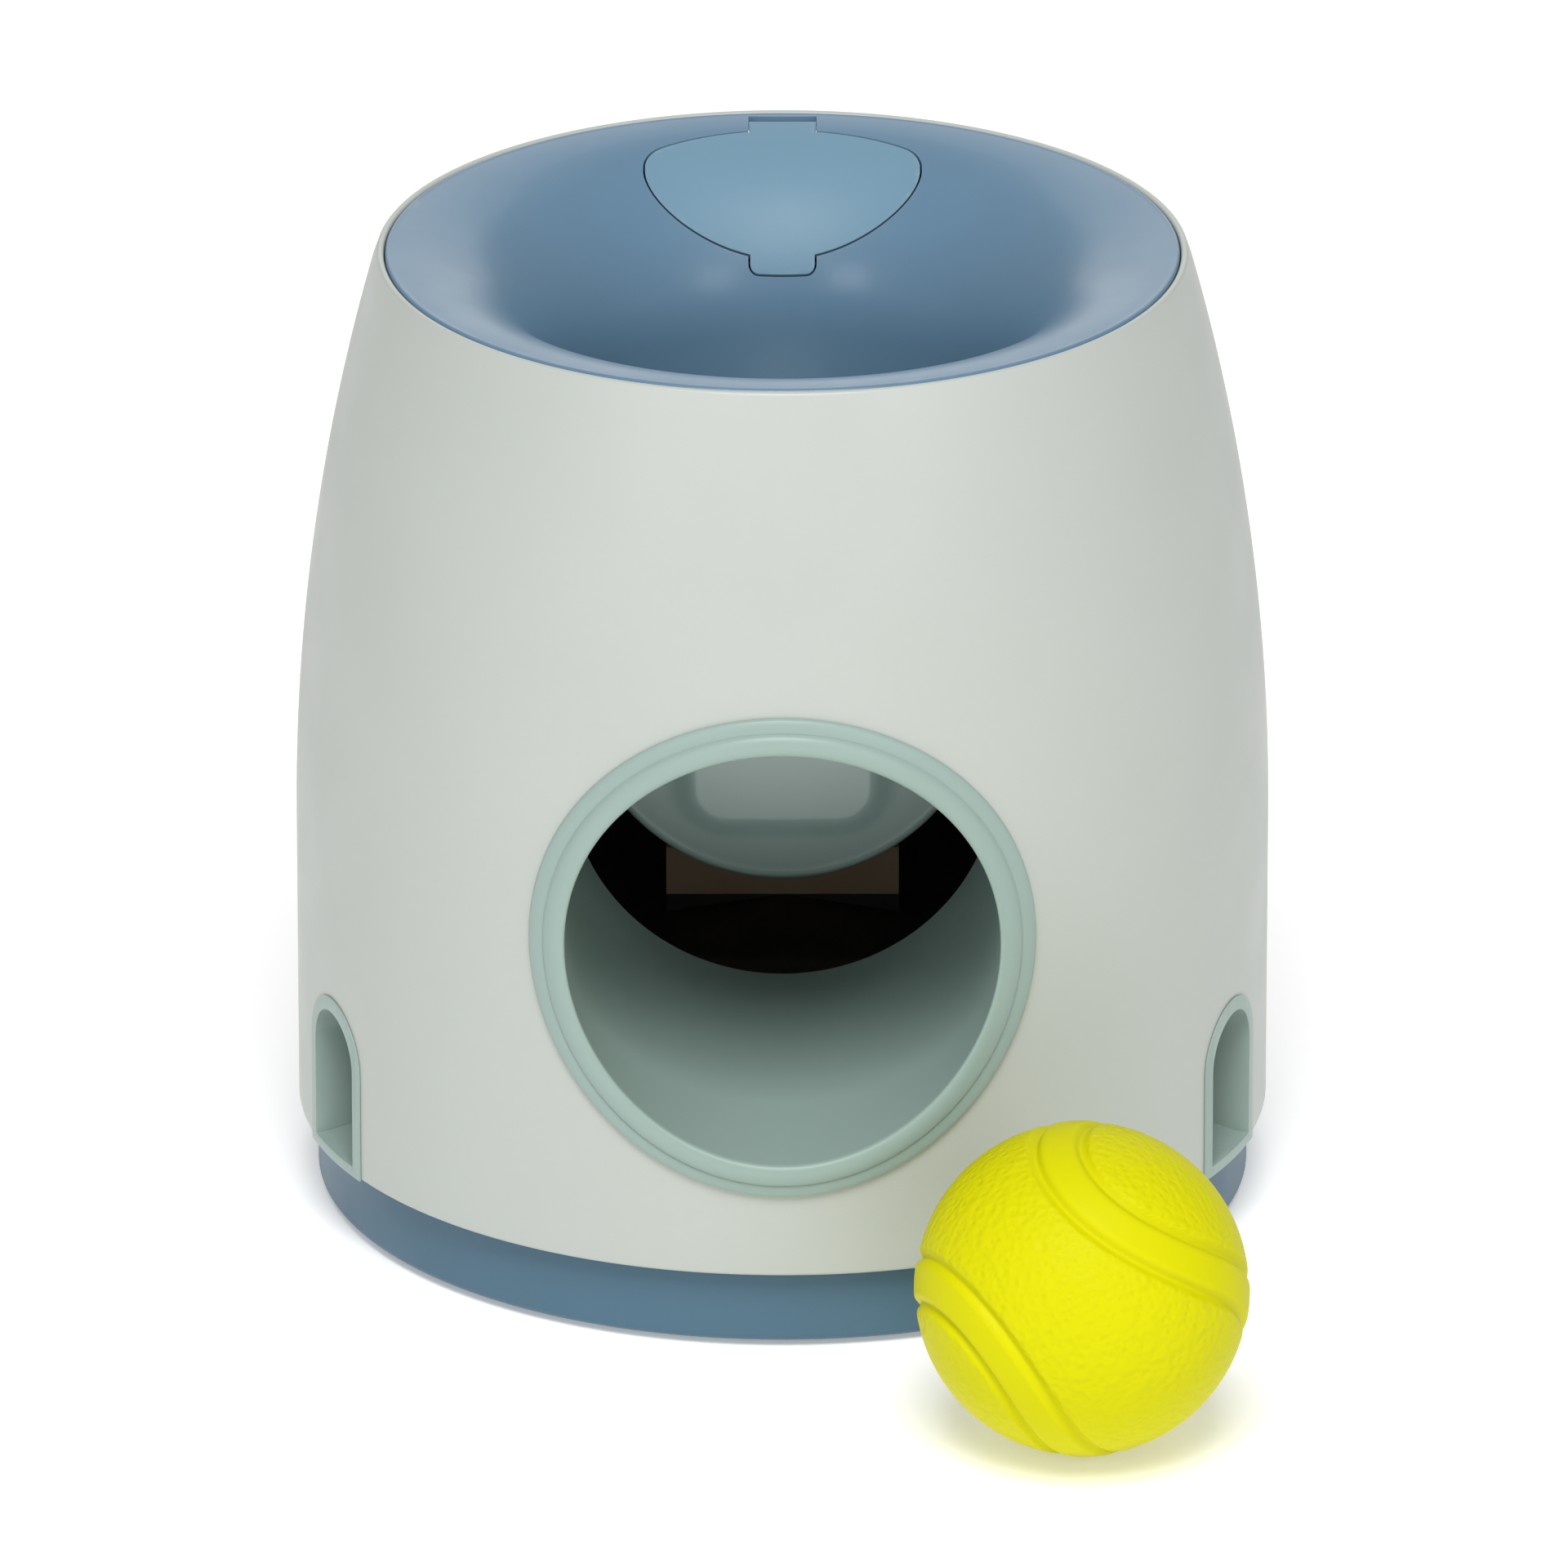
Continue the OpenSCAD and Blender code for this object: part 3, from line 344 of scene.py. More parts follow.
class ShaderKit:
    """Shader node groups that several finishes share."""

    tone_scale: float = 24.0
    polished: Point2 = (0.38, 0.66)
    # Pointiness range over which the painted edge sheen fades in.
    sheen_range: Point2 = (0.52, 0.62)

    def __init__(self) -> None:
        """Builds every group once."""
        self.grain = self._grain()
        self.handling = self._handling()
        self.stipple = self._stipple()
        self.edges = self._edge_sheen()

    @staticmethod
    def _group(name: str, inputs: dict[str, float], outputs: Sequence[str]) -> bpy.types.NodeTree:
        """Starts a group with number sockets.

        Args:
            name: The group's name.
            inputs: Default value of each input, by name.
            outputs: Names of the outputs.

        Returns:
            The new group, with its input and output nodes.
        """
        tree = bpy.data.node_groups.new(name, "ShaderNodeTree")
        for key, value in inputs.items():
            socket = tree.interface.new_socket(key, in_out="INPUT", socket_type="NodeSocketFloat")
            socket.default_value = value
        for key in outputs:
            tree.interface.new_socket(key, in_out="OUTPUT", socket_type="NodeSocketFloat")
        tree.nodes.new("NodeGroupInput")
        tree.nodes.new("NodeGroupOutput")
        return tree

    @staticmethod
    def _noise(
            tree: bpy.types.NodeTree, scale: bpy.types.NodeSocket | float,
            detail: float) -> bpy.types.NodeSocket:
        """A noise over the object's own coordinates.

        Args:
            tree: The tree that takes the nodes.
            scale: The noise's scale, or a socket that gives it.
            detail: The noise's detail.

        Returns:
            The socket with the noise's value.
        """
        place = tree.nodes.new("ShaderNodeTexCoord")
        noise = tree.nodes.new("ShaderNodeTexNoise")
        noise.inputs["Detail"].default_value = detail
        tree.links.new(place.outputs["Object"], noise.inputs["Vector"])
        if isinstance(scale, bpy.types.NodeSocket):
            tree.links.new(scale, noise.inputs["Scale"])
        else:
            noise.inputs["Scale"].default_value = scale
        return noise.outputs[0]

    def _grain(self) -> bpy.types.NodeTree:
        """Fine moulded grain, as a height and as a slight change of tone."""
        tree = self._group("MouldedGrain", {"Scale": 2500.0}, ("Height", "Tone"))
        source = tree.nodes["Group Input"].outputs["Scale"]
        sink = tree.nodes["Group Output"]
        tree.links.new(self._noise(tree, source, 3.0), sink.inputs["Height"])
        tree.links.new(self._noise(tree, self.tone_scale, 2.0), sink.inputs["Tone"])
        return tree

    def _handling(self) -> bpy.types.NodeTree:
        """Faint polished patches from handling, as a mask."""
        tree = self._group("Handling", {"Scale": 55.0}, ("Mask",))
        spread = tree.nodes.new("ShaderNodeMapRange")
        spread.inputs["From Min"].default_value, spread.inputs["From Max"].default_value = self.polished
        source = tree.nodes["Group Input"].outputs["Scale"]
        tree.links.new(self._noise(tree, source, 4.0), spread.inputs["Value"])
        tree.links.new(spread.outputs["Result"], tree.nodes["Group Output"].inputs["Mask"])
        return tree

    def _stipple(self) -> bpy.types.NodeTree:
        """Small round pits of a moulded rubber skin, as a height."""
        tree = self._group("RubberStipple", {"Scale": 900.0}, ("Height",))
        place = tree.nodes.new("ShaderNodeTexCoord")
        cells = tree.nodes.new("ShaderNodeTexVoronoi")
        cells.feature = "SMOOTH_F1"
        tree.links.new(place.outputs["Object"], cells.inputs["Vector"])
        tree.links.new(tree.nodes["Group Input"].outputs["Scale"], cells.inputs["Scale"])
        tree.links.new(cells.outputs["Distance"], tree.nodes["Group Output"].inputs["Height"])
        return tree

    def _edge_sheen(self) -> bpy.types.NodeTree:
        """Painted edge sheen: a slightly lighter tone along sharp outer edges, as a mask."""
        tree = self._group("PaintedEdgeSheen", {}, ("Mask",))
        shape = tree.nodes.new("ShaderNodeNewGeometry")
        spread = tree.nodes.new("ShaderNodeMapRange")
        spread.inputs["From Min"].default_value, spread.inputs["From Max"].default_value = self.sheen_range
        tree.links.new(shape.outputs["Pointiness"], spread.inputs["Value"])
        tree.links.new(spread.outputs["Result"], tree.nodes["Group Output"].inputs["Mask"])
        return tree


def toned(colour: Colour, factor: float) -> tuple[float, float, float, float]:
    """A colour made lighter or darker by a factor, with full alpha."""
    return (*(min(1.0, c * factor) for c in colour), 1.0)


@dataclass(frozen=True)
class Finish:
    """A procedural finish: its colour, sheen, grain, slight unevenness and a painted highlight along edges.
    """

    name: str
    colour: Colour
    roughness: float
    metallic: float = 0.0
    coat: float = 0.0
    specular: float = 0.5
    grain_scale: float = 2500.0
    grain: float = 0.04
    tone: float = 0.03
    handling: float = 0.06
    # Strength of the painted edge sheen.
    edge: float = 0.04
    coat_roughness: float = 0.12
    grain_depth: float = 0.0005
    # Colour of the painted edge sheen.
    edge_sheen_colour: Colour = (0.9, 0.92, 0.9)

    def height(self, tree: bpy.types.NodeTree, kit: ShaderKit) -> bpy.types.NodeSocket:
        """The socket with the height that the surface's bump follows."""
        node = tree.nodes.new("ShaderNodeGroup")
        node.node_tree = kit.grain
        node.inputs["Scale"].default_value = self.grain_scale
        return node.outputs["Height"]

    def material(self, kit: ShaderKit) -> bpy.types.Material:
        """Builds the material.

        Args:
            kit: The shared node groups.

        Returns:
            The new material.
        """
        made = bpy.data.materials.new(self.name)
        made.use_nodes = True
        tree = made.node_tree
        shader = tree.nodes["Principled BSDF"]
        shader.inputs["Metallic"].default_value = self.metallic
        shader.inputs["Coat Weight"].default_value = self.coat
        shader.inputs["Coat Roughness"].default_value = self.coat_roughness
        shader.inputs["Specular IOR Level"].default_value = self.specular
        tree.links.new(self._colour(tree, kit), shader.inputs["Base Color"])
        tree.links.new(self._roughness(tree, kit), shader.inputs["Roughness"])
        bump = tree.nodes.new("ShaderNodeBump")
        bump.inputs["Strength"].default_value = self.grain
        bump.inputs["Distance"].default_value = self.grain_depth
        tree.links.new(self.height(tree, kit), bump.inputs["Height"])
        tree.links.new(bump.outputs["Normal"], shader.inputs["Normal"])
        made.diffuse_color = (*self.colour, 1.0)
        return made

    def _colour(self, tree: bpy.types.NodeTree, kit: ShaderKit) -> bpy.types.NodeSocket:
        """The socket with the colour, a little uneven, with a painted sheen that lightens the edges."""
        grain = tree.nodes.new("ShaderNodeGroup")
        grain.node_tree = kit.grain
        body = tree.nodes.new("ShaderNodeMix")
        body.data_type = "RGBA"
        body.inputs[6].default_value = toned(self.colour, 1 - self.tone)
        body.inputs[7].default_value = toned(self.colour, 1 + self.tone)
        tree.links.new(grain.outputs["Tone"], body.inputs[0])
        # Painted edge sheen: pointiness lightens the colour along edges.
        edge = tree.nodes.new("ShaderNodeGroup")
        edge.node_tree = kit.edges
        share = tree.nodes.new("ShaderNodeMath")
        share.operation = "MULTIPLY"
        share.inputs[1].default_value = self.edge
        tree.links.new(edge.outputs["Mask"], share.inputs[0])
        lit = tree.nodes.new("ShaderNodeMix")
        lit.data_type = "RGBA"
        lit.inputs[7].default_value = (*self.edge_sheen_colour, 1.0)
        tree.links.new(share.outputs[0], lit.inputs[0])
        tree.links.new(body.outputs[2], lit.inputs[6])
        return lit.outputs[2]

    def _roughness(self, tree: bpy.types.NodeTree, kit: ShaderKit) -> bpy.types.NodeSocket:
        """The socket with the roughness, a little lower where hands have been."""
        node = tree.nodes.new("ShaderNodeGroup")
        node.node_tree = kit.handling
        sum_up = tree.nodes.new("ShaderNodeMath")
        sum_up.operation = "MULTIPLY_ADD"
        sum_up.inputs[1].default_value = -self.handling
        sum_up.inputs[2].default_value = self.roughness
        tree.links.new(node.outputs["Mask"], sum_up.inputs[0])
        return sum_up.outputs[0]


@dataclass(frozen=True)
class StippledRubber(Finish):
    """Rubber with a stippled skin, smooth on the ball's seam bands."""

    stipple_scale: float = 700.0

    def height(self, tree: bpy.types.NodeTree, kit: ShaderKit) -> bpy.types.NodeSocket:
        """The socket with the stipple's height, flat on the seam bands."""
        node = tree.nodes.new("ShaderNodeGroup")
        node.node_tree = kit.stipple
        node.inputs["Scale"].default_value = self.stipple_scale
        mask = tree.nodes.new("ShaderNodeAttribute")
        mask.attribute_name = "field"
        held = tree.nodes.new("ShaderNodeMath")
        held.operation = "MULTIPLY"
        tree.links.new(node.outputs["Height"], held.inputs[0])
        tree.links.new(mask.outputs["Fac"], held.inputs[1])
        return held.outputs[0]


FINISHES: dict[str, Finish] = {
    "shell_plastic": Finish("ShellPlastic", (0.45, 0.48, 0.447), 0.42, grain=0.05),
    "blue_plastic": Finish(
        "BowlPlastic", (0.115, 0.212, 0.31), 0.34, coat=0.05, grain_scale=500.0, grain=0.008),
    # The lid's blue is the bowl's blue made lighter: painted light, as the lid faces the lamps more.
    "lid_plastic": Finish("LidPlastic", (0.157, 0.277, 0.372), 0.50, specular=0.3),
    "base_plastic": Finish("BasePlastic", (0.064, 0.138, 0.2), 0.45, specular=0.35),
    "sage_plastic": Finish(
        "SagePlastic", (0.285, 0.378, 0.345), 0.36, specular=0.3, grain=0.0, handling=0.0),
    # Near-black inner mechanism: its colour partly paints in the shade inside the feeder.
    "dark_plastic": Finish("DarkPlastic", (0.016, 0.014, 0.011), 0.5, edge=0.01),
    "brown_plastic": Finish("BrownPlastic", (0.42, 0.29, 0.19), 0.5, edge=0.01),
    "steel": Finish("Steel", (0.56, 0.57, 0.58), 0.3, metallic=1.0, grain=0.06, edge=0.0),
    "bronze": Finish("Bronze", (0.60, 0.42, 0.20), 0.42, metallic=1.0, edge=0.0),
    "dark_rubber": Finish("DarkRubber", (0.03, 0.03, 0.032), 0.75, grain=0.12, edge=0.0),
    "ball_rubber": StippledRubber(
        "BallRubber", (0.62, 0.60, 0.002), 0.5, specular=0.06, grain=0.8, tone=0.02, edge=0.0),
}


@dataclass(frozen=True)
class Sizes:
    """Sizes that several pieces share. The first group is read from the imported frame."""

    shell_r: float
    shell_top: float
    shell_bottom: float
    bowl_r: float
    throat_bottom: float
    base_r: float
    axle: Point2
    trough_end: float
    lip: float = 0.0015
    seat_gap: float = 0.0002
    wall: float = 0.0025
    curve_start: float = 0.076
    ledge_depth: float = 0.006
    ledge_t: float = 0.003
    ledge_w: float = 0.004
    bell_r: float = 0.034
    port_z: float = 0.082
    port_r: float = 0.0418
    outlet_angle: float = 67.0
    outlet_w: float = 0.019
    outlet_top: float = 0.0475
    outlet_wall: float = 0.002

    @classmethod
    def from_frame(cls) -> "Sizes":
        """Reads the driving sizes from the CAD nodes' boxes."""
        shell_low, shell_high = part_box("outer_shell")
        bowl_low, bowl_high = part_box("top_bowl")
        axle_low, axle_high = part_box("paddle_axle")
        return cls(
            shell_r=shell_high[0],
            shell_top=shell_high[2],
            shell_bottom=shell_low[2],
            bowl_r=bowl_high[0],
            throat_bottom=bowl_low[2],
            base_r=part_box("base_pan")[1][0],
            axle=((axle_low[1] + axle_high[1]) / 2, (axle_low[2] + axle_high[2]) / 2),
            trough_end=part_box("ball_tube")[1][1],
        )

    @property
    def ledge_z(self) -> float:
        """Height of the ledge that carries the bowl."""
        return self.shell_top - self.ledge_depth

    @property
    def bell_z(self) -> float:
        """Height where the bowl's rolled mouth meets its throat."""
        return self.shell_top - self.bell_r

    @property
    def throat_r(self) -> float:
        """Inner radius of the bowl's throat."""
        return self.bowl_r - self.bell_r

    @property
    def tube_r(self) -> float:
        """Outer radius of the port's tube."""
        return self.port_r + self.wall

    def side_r(self, z: float) -> float:
        """Radius of the shell's outer face at a height."""
        taper = self.shell_r - self.bowl_r - self.seat_gap - self.lip
        rise = self.shell_top - self.curve_start
        curve = (taper**2 + rise**2) / (2 * taper)
        above = max(0.0, z - self.curve_start)
        return self.shell_r - curve + math.sqrt(curve**2 - above**2)

    def bowl_z(self, r: float, depth: float = 0.0) -> float:
        """Height of the bowl's rolled mouth, or of the face at a depth under it.

        Args:
            r: Distance from the feeder's axis.
            depth: Distance below the surface.

        Returns:
            The height.
        """
        return self.bell_z + math.sqrt(max(0.0, (self.bell_r - depth) ** 2 - (self.bowl_r - r) ** 2))


def hand_over(
        obj: bpy.types.Object, material: bpy.types.Material, body: str, node: str) -> None:
    """Dresses a finished piece and tells the frame where it belongs.

    Args:
        obj: The finished piece.
        material: Its material.
        body: The CAD body that carries it.
        node: The CAD node that it replaces.
    """
    dress(obj, material)
    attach(obj, body)
    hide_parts(node)
    log.info("%s: %d faces on %s", obj.name, len(obj.data.polygons), body)


def dress(obj: bpy.types.Object, material: bpy.types.Material) -> None:
    """Gives a piece one material all over."""
    obj.data.materials.clear()
    obj.data.materials.append(material)


@dataclass
class OutletForm:
    """The round-topped passage that the treats slide out of."""

    sizes: Sizes
    notch_depth: float = 0.03

    def matrix(self, side: int) -> Matrix:
        """Places an outline drawn across and up, and extruded outwards, at one side.

        Args:
            side: 1 for the right outlet and -1 for the left one.

        Returns:
            The matrix from the outline's axes to the part's frame.
        """
        stand = Matrix(((0, 0, 1, 0), (1, 0, 0, 0), (0, 1, 0, 0), (0, 0, 0, 1)))
        return Matrix.Rotation(math.radians(side * self.sizes.outlet_angle - 90), 4, "Z") @ stand

    def prism(
            self, name: str, side: int, grow: float, low: float, near: float,
            far: float) -> bpy.types.Object:
        """A solid of the passage's shape.

        Args:
            name: Name of the new object.
            side: 1 for the right outlet and -1 for the left one.
            grow: How far the outline stands outside the passage.
            low: Height of the lower end.
            near: Distance of the inner end from the feeder's axis.
            far: Distance of the outer end from the feeder's axis.

        Returns:
            The new object.
        """
        half = self.sizes.outlet_w / 2 + grow
        crown = (0.0, self.sizes.outlet_top - self.sizes.outlet_w / 2)
        outline = [(-half, low), (half, low)] + arc(crown, half, 0, 180, 32)
        return turned(plate(name, outline, near, far), self.matrix(side))

    def notch(self, side: int, low: float) -> bpy.types.Object:
        """The cutter that makes room for one outlet.

        Args:
            side: 1 for the right outlet and -1 for the left one.
            low: Height of its lower end.

        Returns:
            The new object.
        """
        s = self.sizes
        grow = s.outlet_wall + s.seat_gap
        return self.prism("notch", side, grow, low, s.shell_r - self.notch_depth, s.shell_r + OVER)


@dataclass
class ShellBody:
    """The barrel-shaped outer shell with its port hole and outlet notches."""

    sizes: Sizes
    material: bpy.types.Material
    foot_round: float = 0.0008
    lug_r: float = 0.005
    lug_low: float = 0.0226
    lug_high: float = 0.0306
    lug_roof: float = 0.001
    screw_inset: float = 0.0093
    screw_r: float = 0.0015
    screw_angles: tuple[float, ...] = (-35.0, 35.0, 140.0, -140.0)

    def section(self) -> list[Point2]:
        """The wall's closed half section: up the outside, over the lip and down the inside."""
        s = self.sizes
        rim = s.bowl_r + s.seat_gap
        lip_r = s.lip / 2
        foot = (s.shell_r - self.foot_round, s.shell_bottom + self.foot_round)
        outside = arc(foot, self.foot_round, -90, 0, 5)
        outside += [(s.shell_r, z) for z in span(foot[1], s.curve_start, 16)[1:]]
        outside += [(s.side_r(z), z) for z in span(s.curve_start, s.shell_top - lip_r, 48)[1:-1]]
        lip = arc((rim + lip_r, s.shell_top - lip_r), lip_r, 8, 180, 10)
        ledge_r = s.bowl_r - s.ledge_w
        under = s.ledge_z - s.ledge_t
        ledge = [(rim, s.ledge_z), (ledge_r, s.ledge_z), (ledge_r, under)]
        heights = span(under, s.curve_start, 24) + span(s.curve_start, s.shell_bottom, 10)[1:]
        inside = [(s.side_r(z) - s.wall, z) for z in heights]
        return outside + lip + ledge + inside

    def lugs(self) -> list[bpy.types.Object]:
        """The bored lugs inside the shell that take the base's screws."""
        s = self.sizes
        found = []
        for angle in self.screw_angles:
            turn = Matrix.Rotation(math.radians(angle - 90), 4, "Z")
            at = s.base_r - self.screw_inset
            end = s.shell_r - s.wall / 2
            lug = block("lug", (at, -self.lug_r, self.lug_low), (end, self.lug_r, self.lug_high))
            nose = rod("nose", self.lug_r, (at, 0, self.lug_low), (at, 0, self.lug_high))
            bore = rod("bore", self.screw_r, (at, 0, 0), (at, 0, self.lug_high - self.lug_roof), 32)
            carve(lug, Cut.WITH, nose)
            found.append(turned(carve(lug, Cut.AWAY, bore), turn))
        return found

    def build(self) -> None:
        """Models the shell and hands it over."""
        s = self.sizes
        shell = lathe("shell_body", self.section())
        gap = s.tube_r + s.seat_gap
        outside, inside = (0, -s.shell_r - OVER, s.port_z), (0, -s.shell_r / 2, s.port_z)
        holes = [rod("port_hole", gap, outside, inside, 192)]
        form = OutletForm(s)
        for side in (-1, 1):
            holes.append(form.notch(side, 0.0))
        carve(shell, Cut.AWAY, *holes)
        carve(shell, Cut.WITH, *self.lugs())
        hand_over(shaded(shell), self.material, "root", "outer_shell")


@dataclass
class LidForm:
    """The treat lid's outline: an upright curved rear, and a tilted rounded front with a finger tab."""

    sizes: Sizes
    half_w: float = 0.027
    bend: float = 0.041
    corner_r: float = 0.008
    margin: float = 0.0081
    front_w: float = 0.0017
    front_l: float = 0.0166
    tilt: float = 40.0
    gap: float = 0.0004
    tab_half: float = 0.0063
    tab_l: float = 0.0029
    tab_round: float = 0.0016
    hinge_margin: float = 0.00496
    knuckle_r: float = 0.0023
    pin_r: float = 0.00125
    ear_w: float = 0.004
    strip_overlap: float = 0.003

    @property
    def tip(self) -> Point2:
        """Distance of the tab's front edge behind the feeder's axis, and its height."""
        y = self.sizes.throat_r + self.front_w + self.gap
        return y, self.sizes.bowl_z(y)

    @property
    def back(self) -> float:
        """Distance of the lid's rear edge behind the feeder's axis."""
        return self.sizes.bowl_r - self.margin

    @property
    def hinge(self) -> Point2:
        """Distance of the hinge behind the axis, and its height."""
        y = self.sizes.bowl_r - self.hinge_margin
        return y, self.sizes.bowl_z(y) - self.knuckle_r

    def rear(self, grow: float) -> list[Point2]:
        """Right half of the rear outline in plan, from the lid's widest point to its middle line."""
        corner, bend = self.corner_r + grow, self.bend + grow
        side = self.half_w - self.corner_r
        centre = (0.0, self.back - self.bend)
        rise = math.sqrt((bend - corner) ** 2 - side**2)
        turn = math.degrees(math.atan2(rise, side))
        return arc((side, centre[1] + rise), corner, 4, turn, 8) + arc(centre, bend, turn, 89, 12)[1:]

    def front(self, grow: float) -> list[Point2]:
        """Right half of the front outline, square to the tilted edge, from the tab's middle."""
        tab, bend = self.tab_half + grow, self.tab_round + grow
        wide, deep = self.half_w + grow, self.front_l + grow
        middle = self.tab_l + self.front_l
        start = -math.degrees(math.acos(tab / wide))
        points = [(tab / 3, -grow)] + arc((tab - bend, bend - grow), bend, -90, 0, 5)
        turns = [math.radians(a) for a in span(start, -4, 20)]
        return points + [(wide * math.cos(a), middle + deep * math.sin(a)) for a in turns]

    def space(self, grow: float, strip_end: float) -> bpy.types.Object:
        """The upright and tilted column that the lid and its hinge strip fill.

        Args:
            grow: How far the column stands outside the lid's own outline.
            strip_end: Distance of the hinge strip's rear end from the axis.

        Returns:
            A closed solid.
        """
        half = self.half_w + grow
        front = self.front(grow) + [(half, FAR)]
        column = plate("lid_column", front + mirrored(front), -FAR, FAR)
        lean = Matrix.Rotation(math.radians(self.tilt), 4, "X")
        turned(column, Matrix.Translation((0, *self.tip)) @ lean)
        rear = [(half, 0.0)] + self.rear(grow)
        carve(column, Cut.INSIDE, plate("rear", rear + mirrored(rear), 0.0, FAR))
        slot = self.tab_half + grow
        start = self.back - self.strip_overlap
        strip = block("strip", (-slot, start, self.sizes.bell_z), (slot, strip_end, FAR))
        return carve(column, Cut.WITH, strip)


def loft(name: str, rings: Sequence[Sequence[Vector]], closed: bool = False) -> bpy.types.Object:
    """Skins a row of rings that have the same number of points.

    Args:
        name: Name of the new object.
        rings: The points of each ring, in order.
        closed: Whether the last ring meets the first. Otherwise both ends are filled.

    Returns:
        The new object.
    """
    count = len(rings[0])
    stack = list(rings) + ([rings[0]] if closed else [])
    deselect()
    bpy.ops.mesh.primitive_circle_add(vertices=count, radius=1)
    obj = settle(bpy.context.object, name)
    with editing(obj):
        for _ in stack[1:]:
            bpy.ops.mesh.extrude_region_move(TRANSFORM_OT_translate={"value": (0, 0, 1)})
    step = 2 * math.pi / count

    def placed(at: Vector) -> Vector:
        """Where a point of the plain stack goes."""
        return stack[round(at.z)][round(math.atan2(at.y, at.x) / step) % count]

    reshaped(obj, placed)
    with editing(obj):
        bpy.ops.mesh.remove_doubles(threshold=MERGE)
        if not closed:
            bpy.ops.mesh.fill_holes(sides=0)
    return clean(obj)


@dataclass
class TopBowl:
    """The bell-mouthed bowl with its throat, lid opening and hinge ears."""

    sizes: Sizes
    lid: LidForm
    material: bpy.types.Material
    rim_round: float = 0.0007
    skirt_t: float = 0.003
    side_gap: float = 0.0003
    ear_top: float = 0.1902
    ear_inset: float = 0.001
    bore_gap: float = 0.00005
    bore_over: float = 0.001
    boss_at: Point2 = (0.0465, 0.04596)
    boss_r: float = 0.004
    boss_low: float = 0.164
    boss_high: float = 0.187

    def section(self) -> list[Point2]:
        """The wall's closed half section: up the inside, over the rim and down the outside."""
        s = self.sizes
        end_r = s.wall / 2
        low = s.throat_bottom + end_r
        centre = (s.bowl_r, s.bell_z)
        inside = [(s.throat_r, z) for z in span(low, s.bell_z, 14)[:-1]]
        mouth = arc(centre, s.bell_r, 180, MOUTH_END, 56)
        rim = arc((s.bowl_r - self.rim_round, s.shell_top - self.rim_round), self.rim_round, 90, 0, 5)
        inner = s.bell_r - s.wall
        start = math.degrees(math.acos(-self.skirt_t / inner))
        skirt = [(s.bowl_r, s.ledge_z), (s.bowl_r - self.skirt_t, s.ledge_z)]
        under = arc(centre, inner, start, 180, 40)
        outside = [(s.throat_r + s.wall, z) for z in span(s.bell_z, low, 14)[1:]]
        end = arc((s.throat_r + end_r, low), end_r, 0, -180, 8)[1:-1]
        return inside + mouth + rim + skirt + under + outside + end

    def build(self) -> None:
        """Models the bowl and hands it over."""
        s, lid = self.sizes, self.lid
        bowl = lathe("bowl_mouth", self.section())
        hinge_y, hinge_z = lid.hinge
        carve(bowl, Cut.AWAY, lid.space(lid.gap, hinge_y + lid.knuckle_r + self.side_gap))
        inner = lid.tab_half + lid.gap
        outer = inner + lid.ear_w
        front = lid.back + lid.gap
        back = s.bowl_r - self.skirt_t / 2 - self.ear_inset
        additions = []
        for side in (-1, 1):
            near, far = sorted((side * inner, side * outer))
            foot = s.ledge_z + self.side_gap
            additions.append(block("ear", (near, front, foot), (far, back, self.ear_top)))
            at = (side * self.boss_at[0], self.boss_at[1])
            additions.append(rod("boss", self.boss_r, (*at, self.boss_low), (*at, self.boss_high)))
        carve(bowl, Cut.WITH, *additions)
        end = outer + self.bore_over
        bore = rod("pin_bore", lid.pin_r + self.bore_gap, (-end, hinge_y, hinge_z), (end, hinge_y, hinge_z))
        carve(bowl, Cut.AWAY, bore)
        hand_over(shaded(bowl), self.material, "root", "top_bowl")


@dataclass
class TreatLid:
    """The lid, which follows the bowl's mouth, with its tab and hinge knuckle; its blue, lighter than the
    bowl's, is painted light.
    """

    sizes: Sizes
    lid: LidForm
    material: bpy.types.Material
    thickness: float = 0.002
    edge_round: float = 0.0004
    bore_gap: float = 0.00005
    side_gap: float = 0.0001
    low_end: float = 172.0
    steps: int = 52

    def section(self) -> list[Point2]:
        """Closed half section of the bowl's mouth, as thick as the lid."""
        s = self.sizes
        centre = (s.bowl_r, s.bell_z)
        face = arc(centre, s.bell_r, self.low_end, MOUTH_END, self.steps)
        return face + arc(centre, s.bell_r - self.thickness, MOUTH_END, self.low_end, self.steps)

    def build(self) -> None:
        """Models the lid and hands it over."""
        y, z = self.lid.hinge
        plate_obj = lathe("treat_flap", self.section())
        carve(plate_obj, Cut.INSIDE, self.lid.space(0.0, y))
        rounded(plate_obj, self.edge_round)
        half = self.lid.tab_half + self.lid.gap - self.side_gap
        carve(plate_obj, Cut.WITH, rod("knuckle", self.lid.knuckle_r, (-half, y, z), (half, y, z), 64))
        bore = rod("knuckle_bore", self.lid.pin_r + self.bore_gap, (-2 * half, y, z), (2 * half, y, z))
        carve(plate_obj, Cut.AWAY, bore)
        hand_over(shaded(plate_obj), self.material, "lid", "treat_lid")


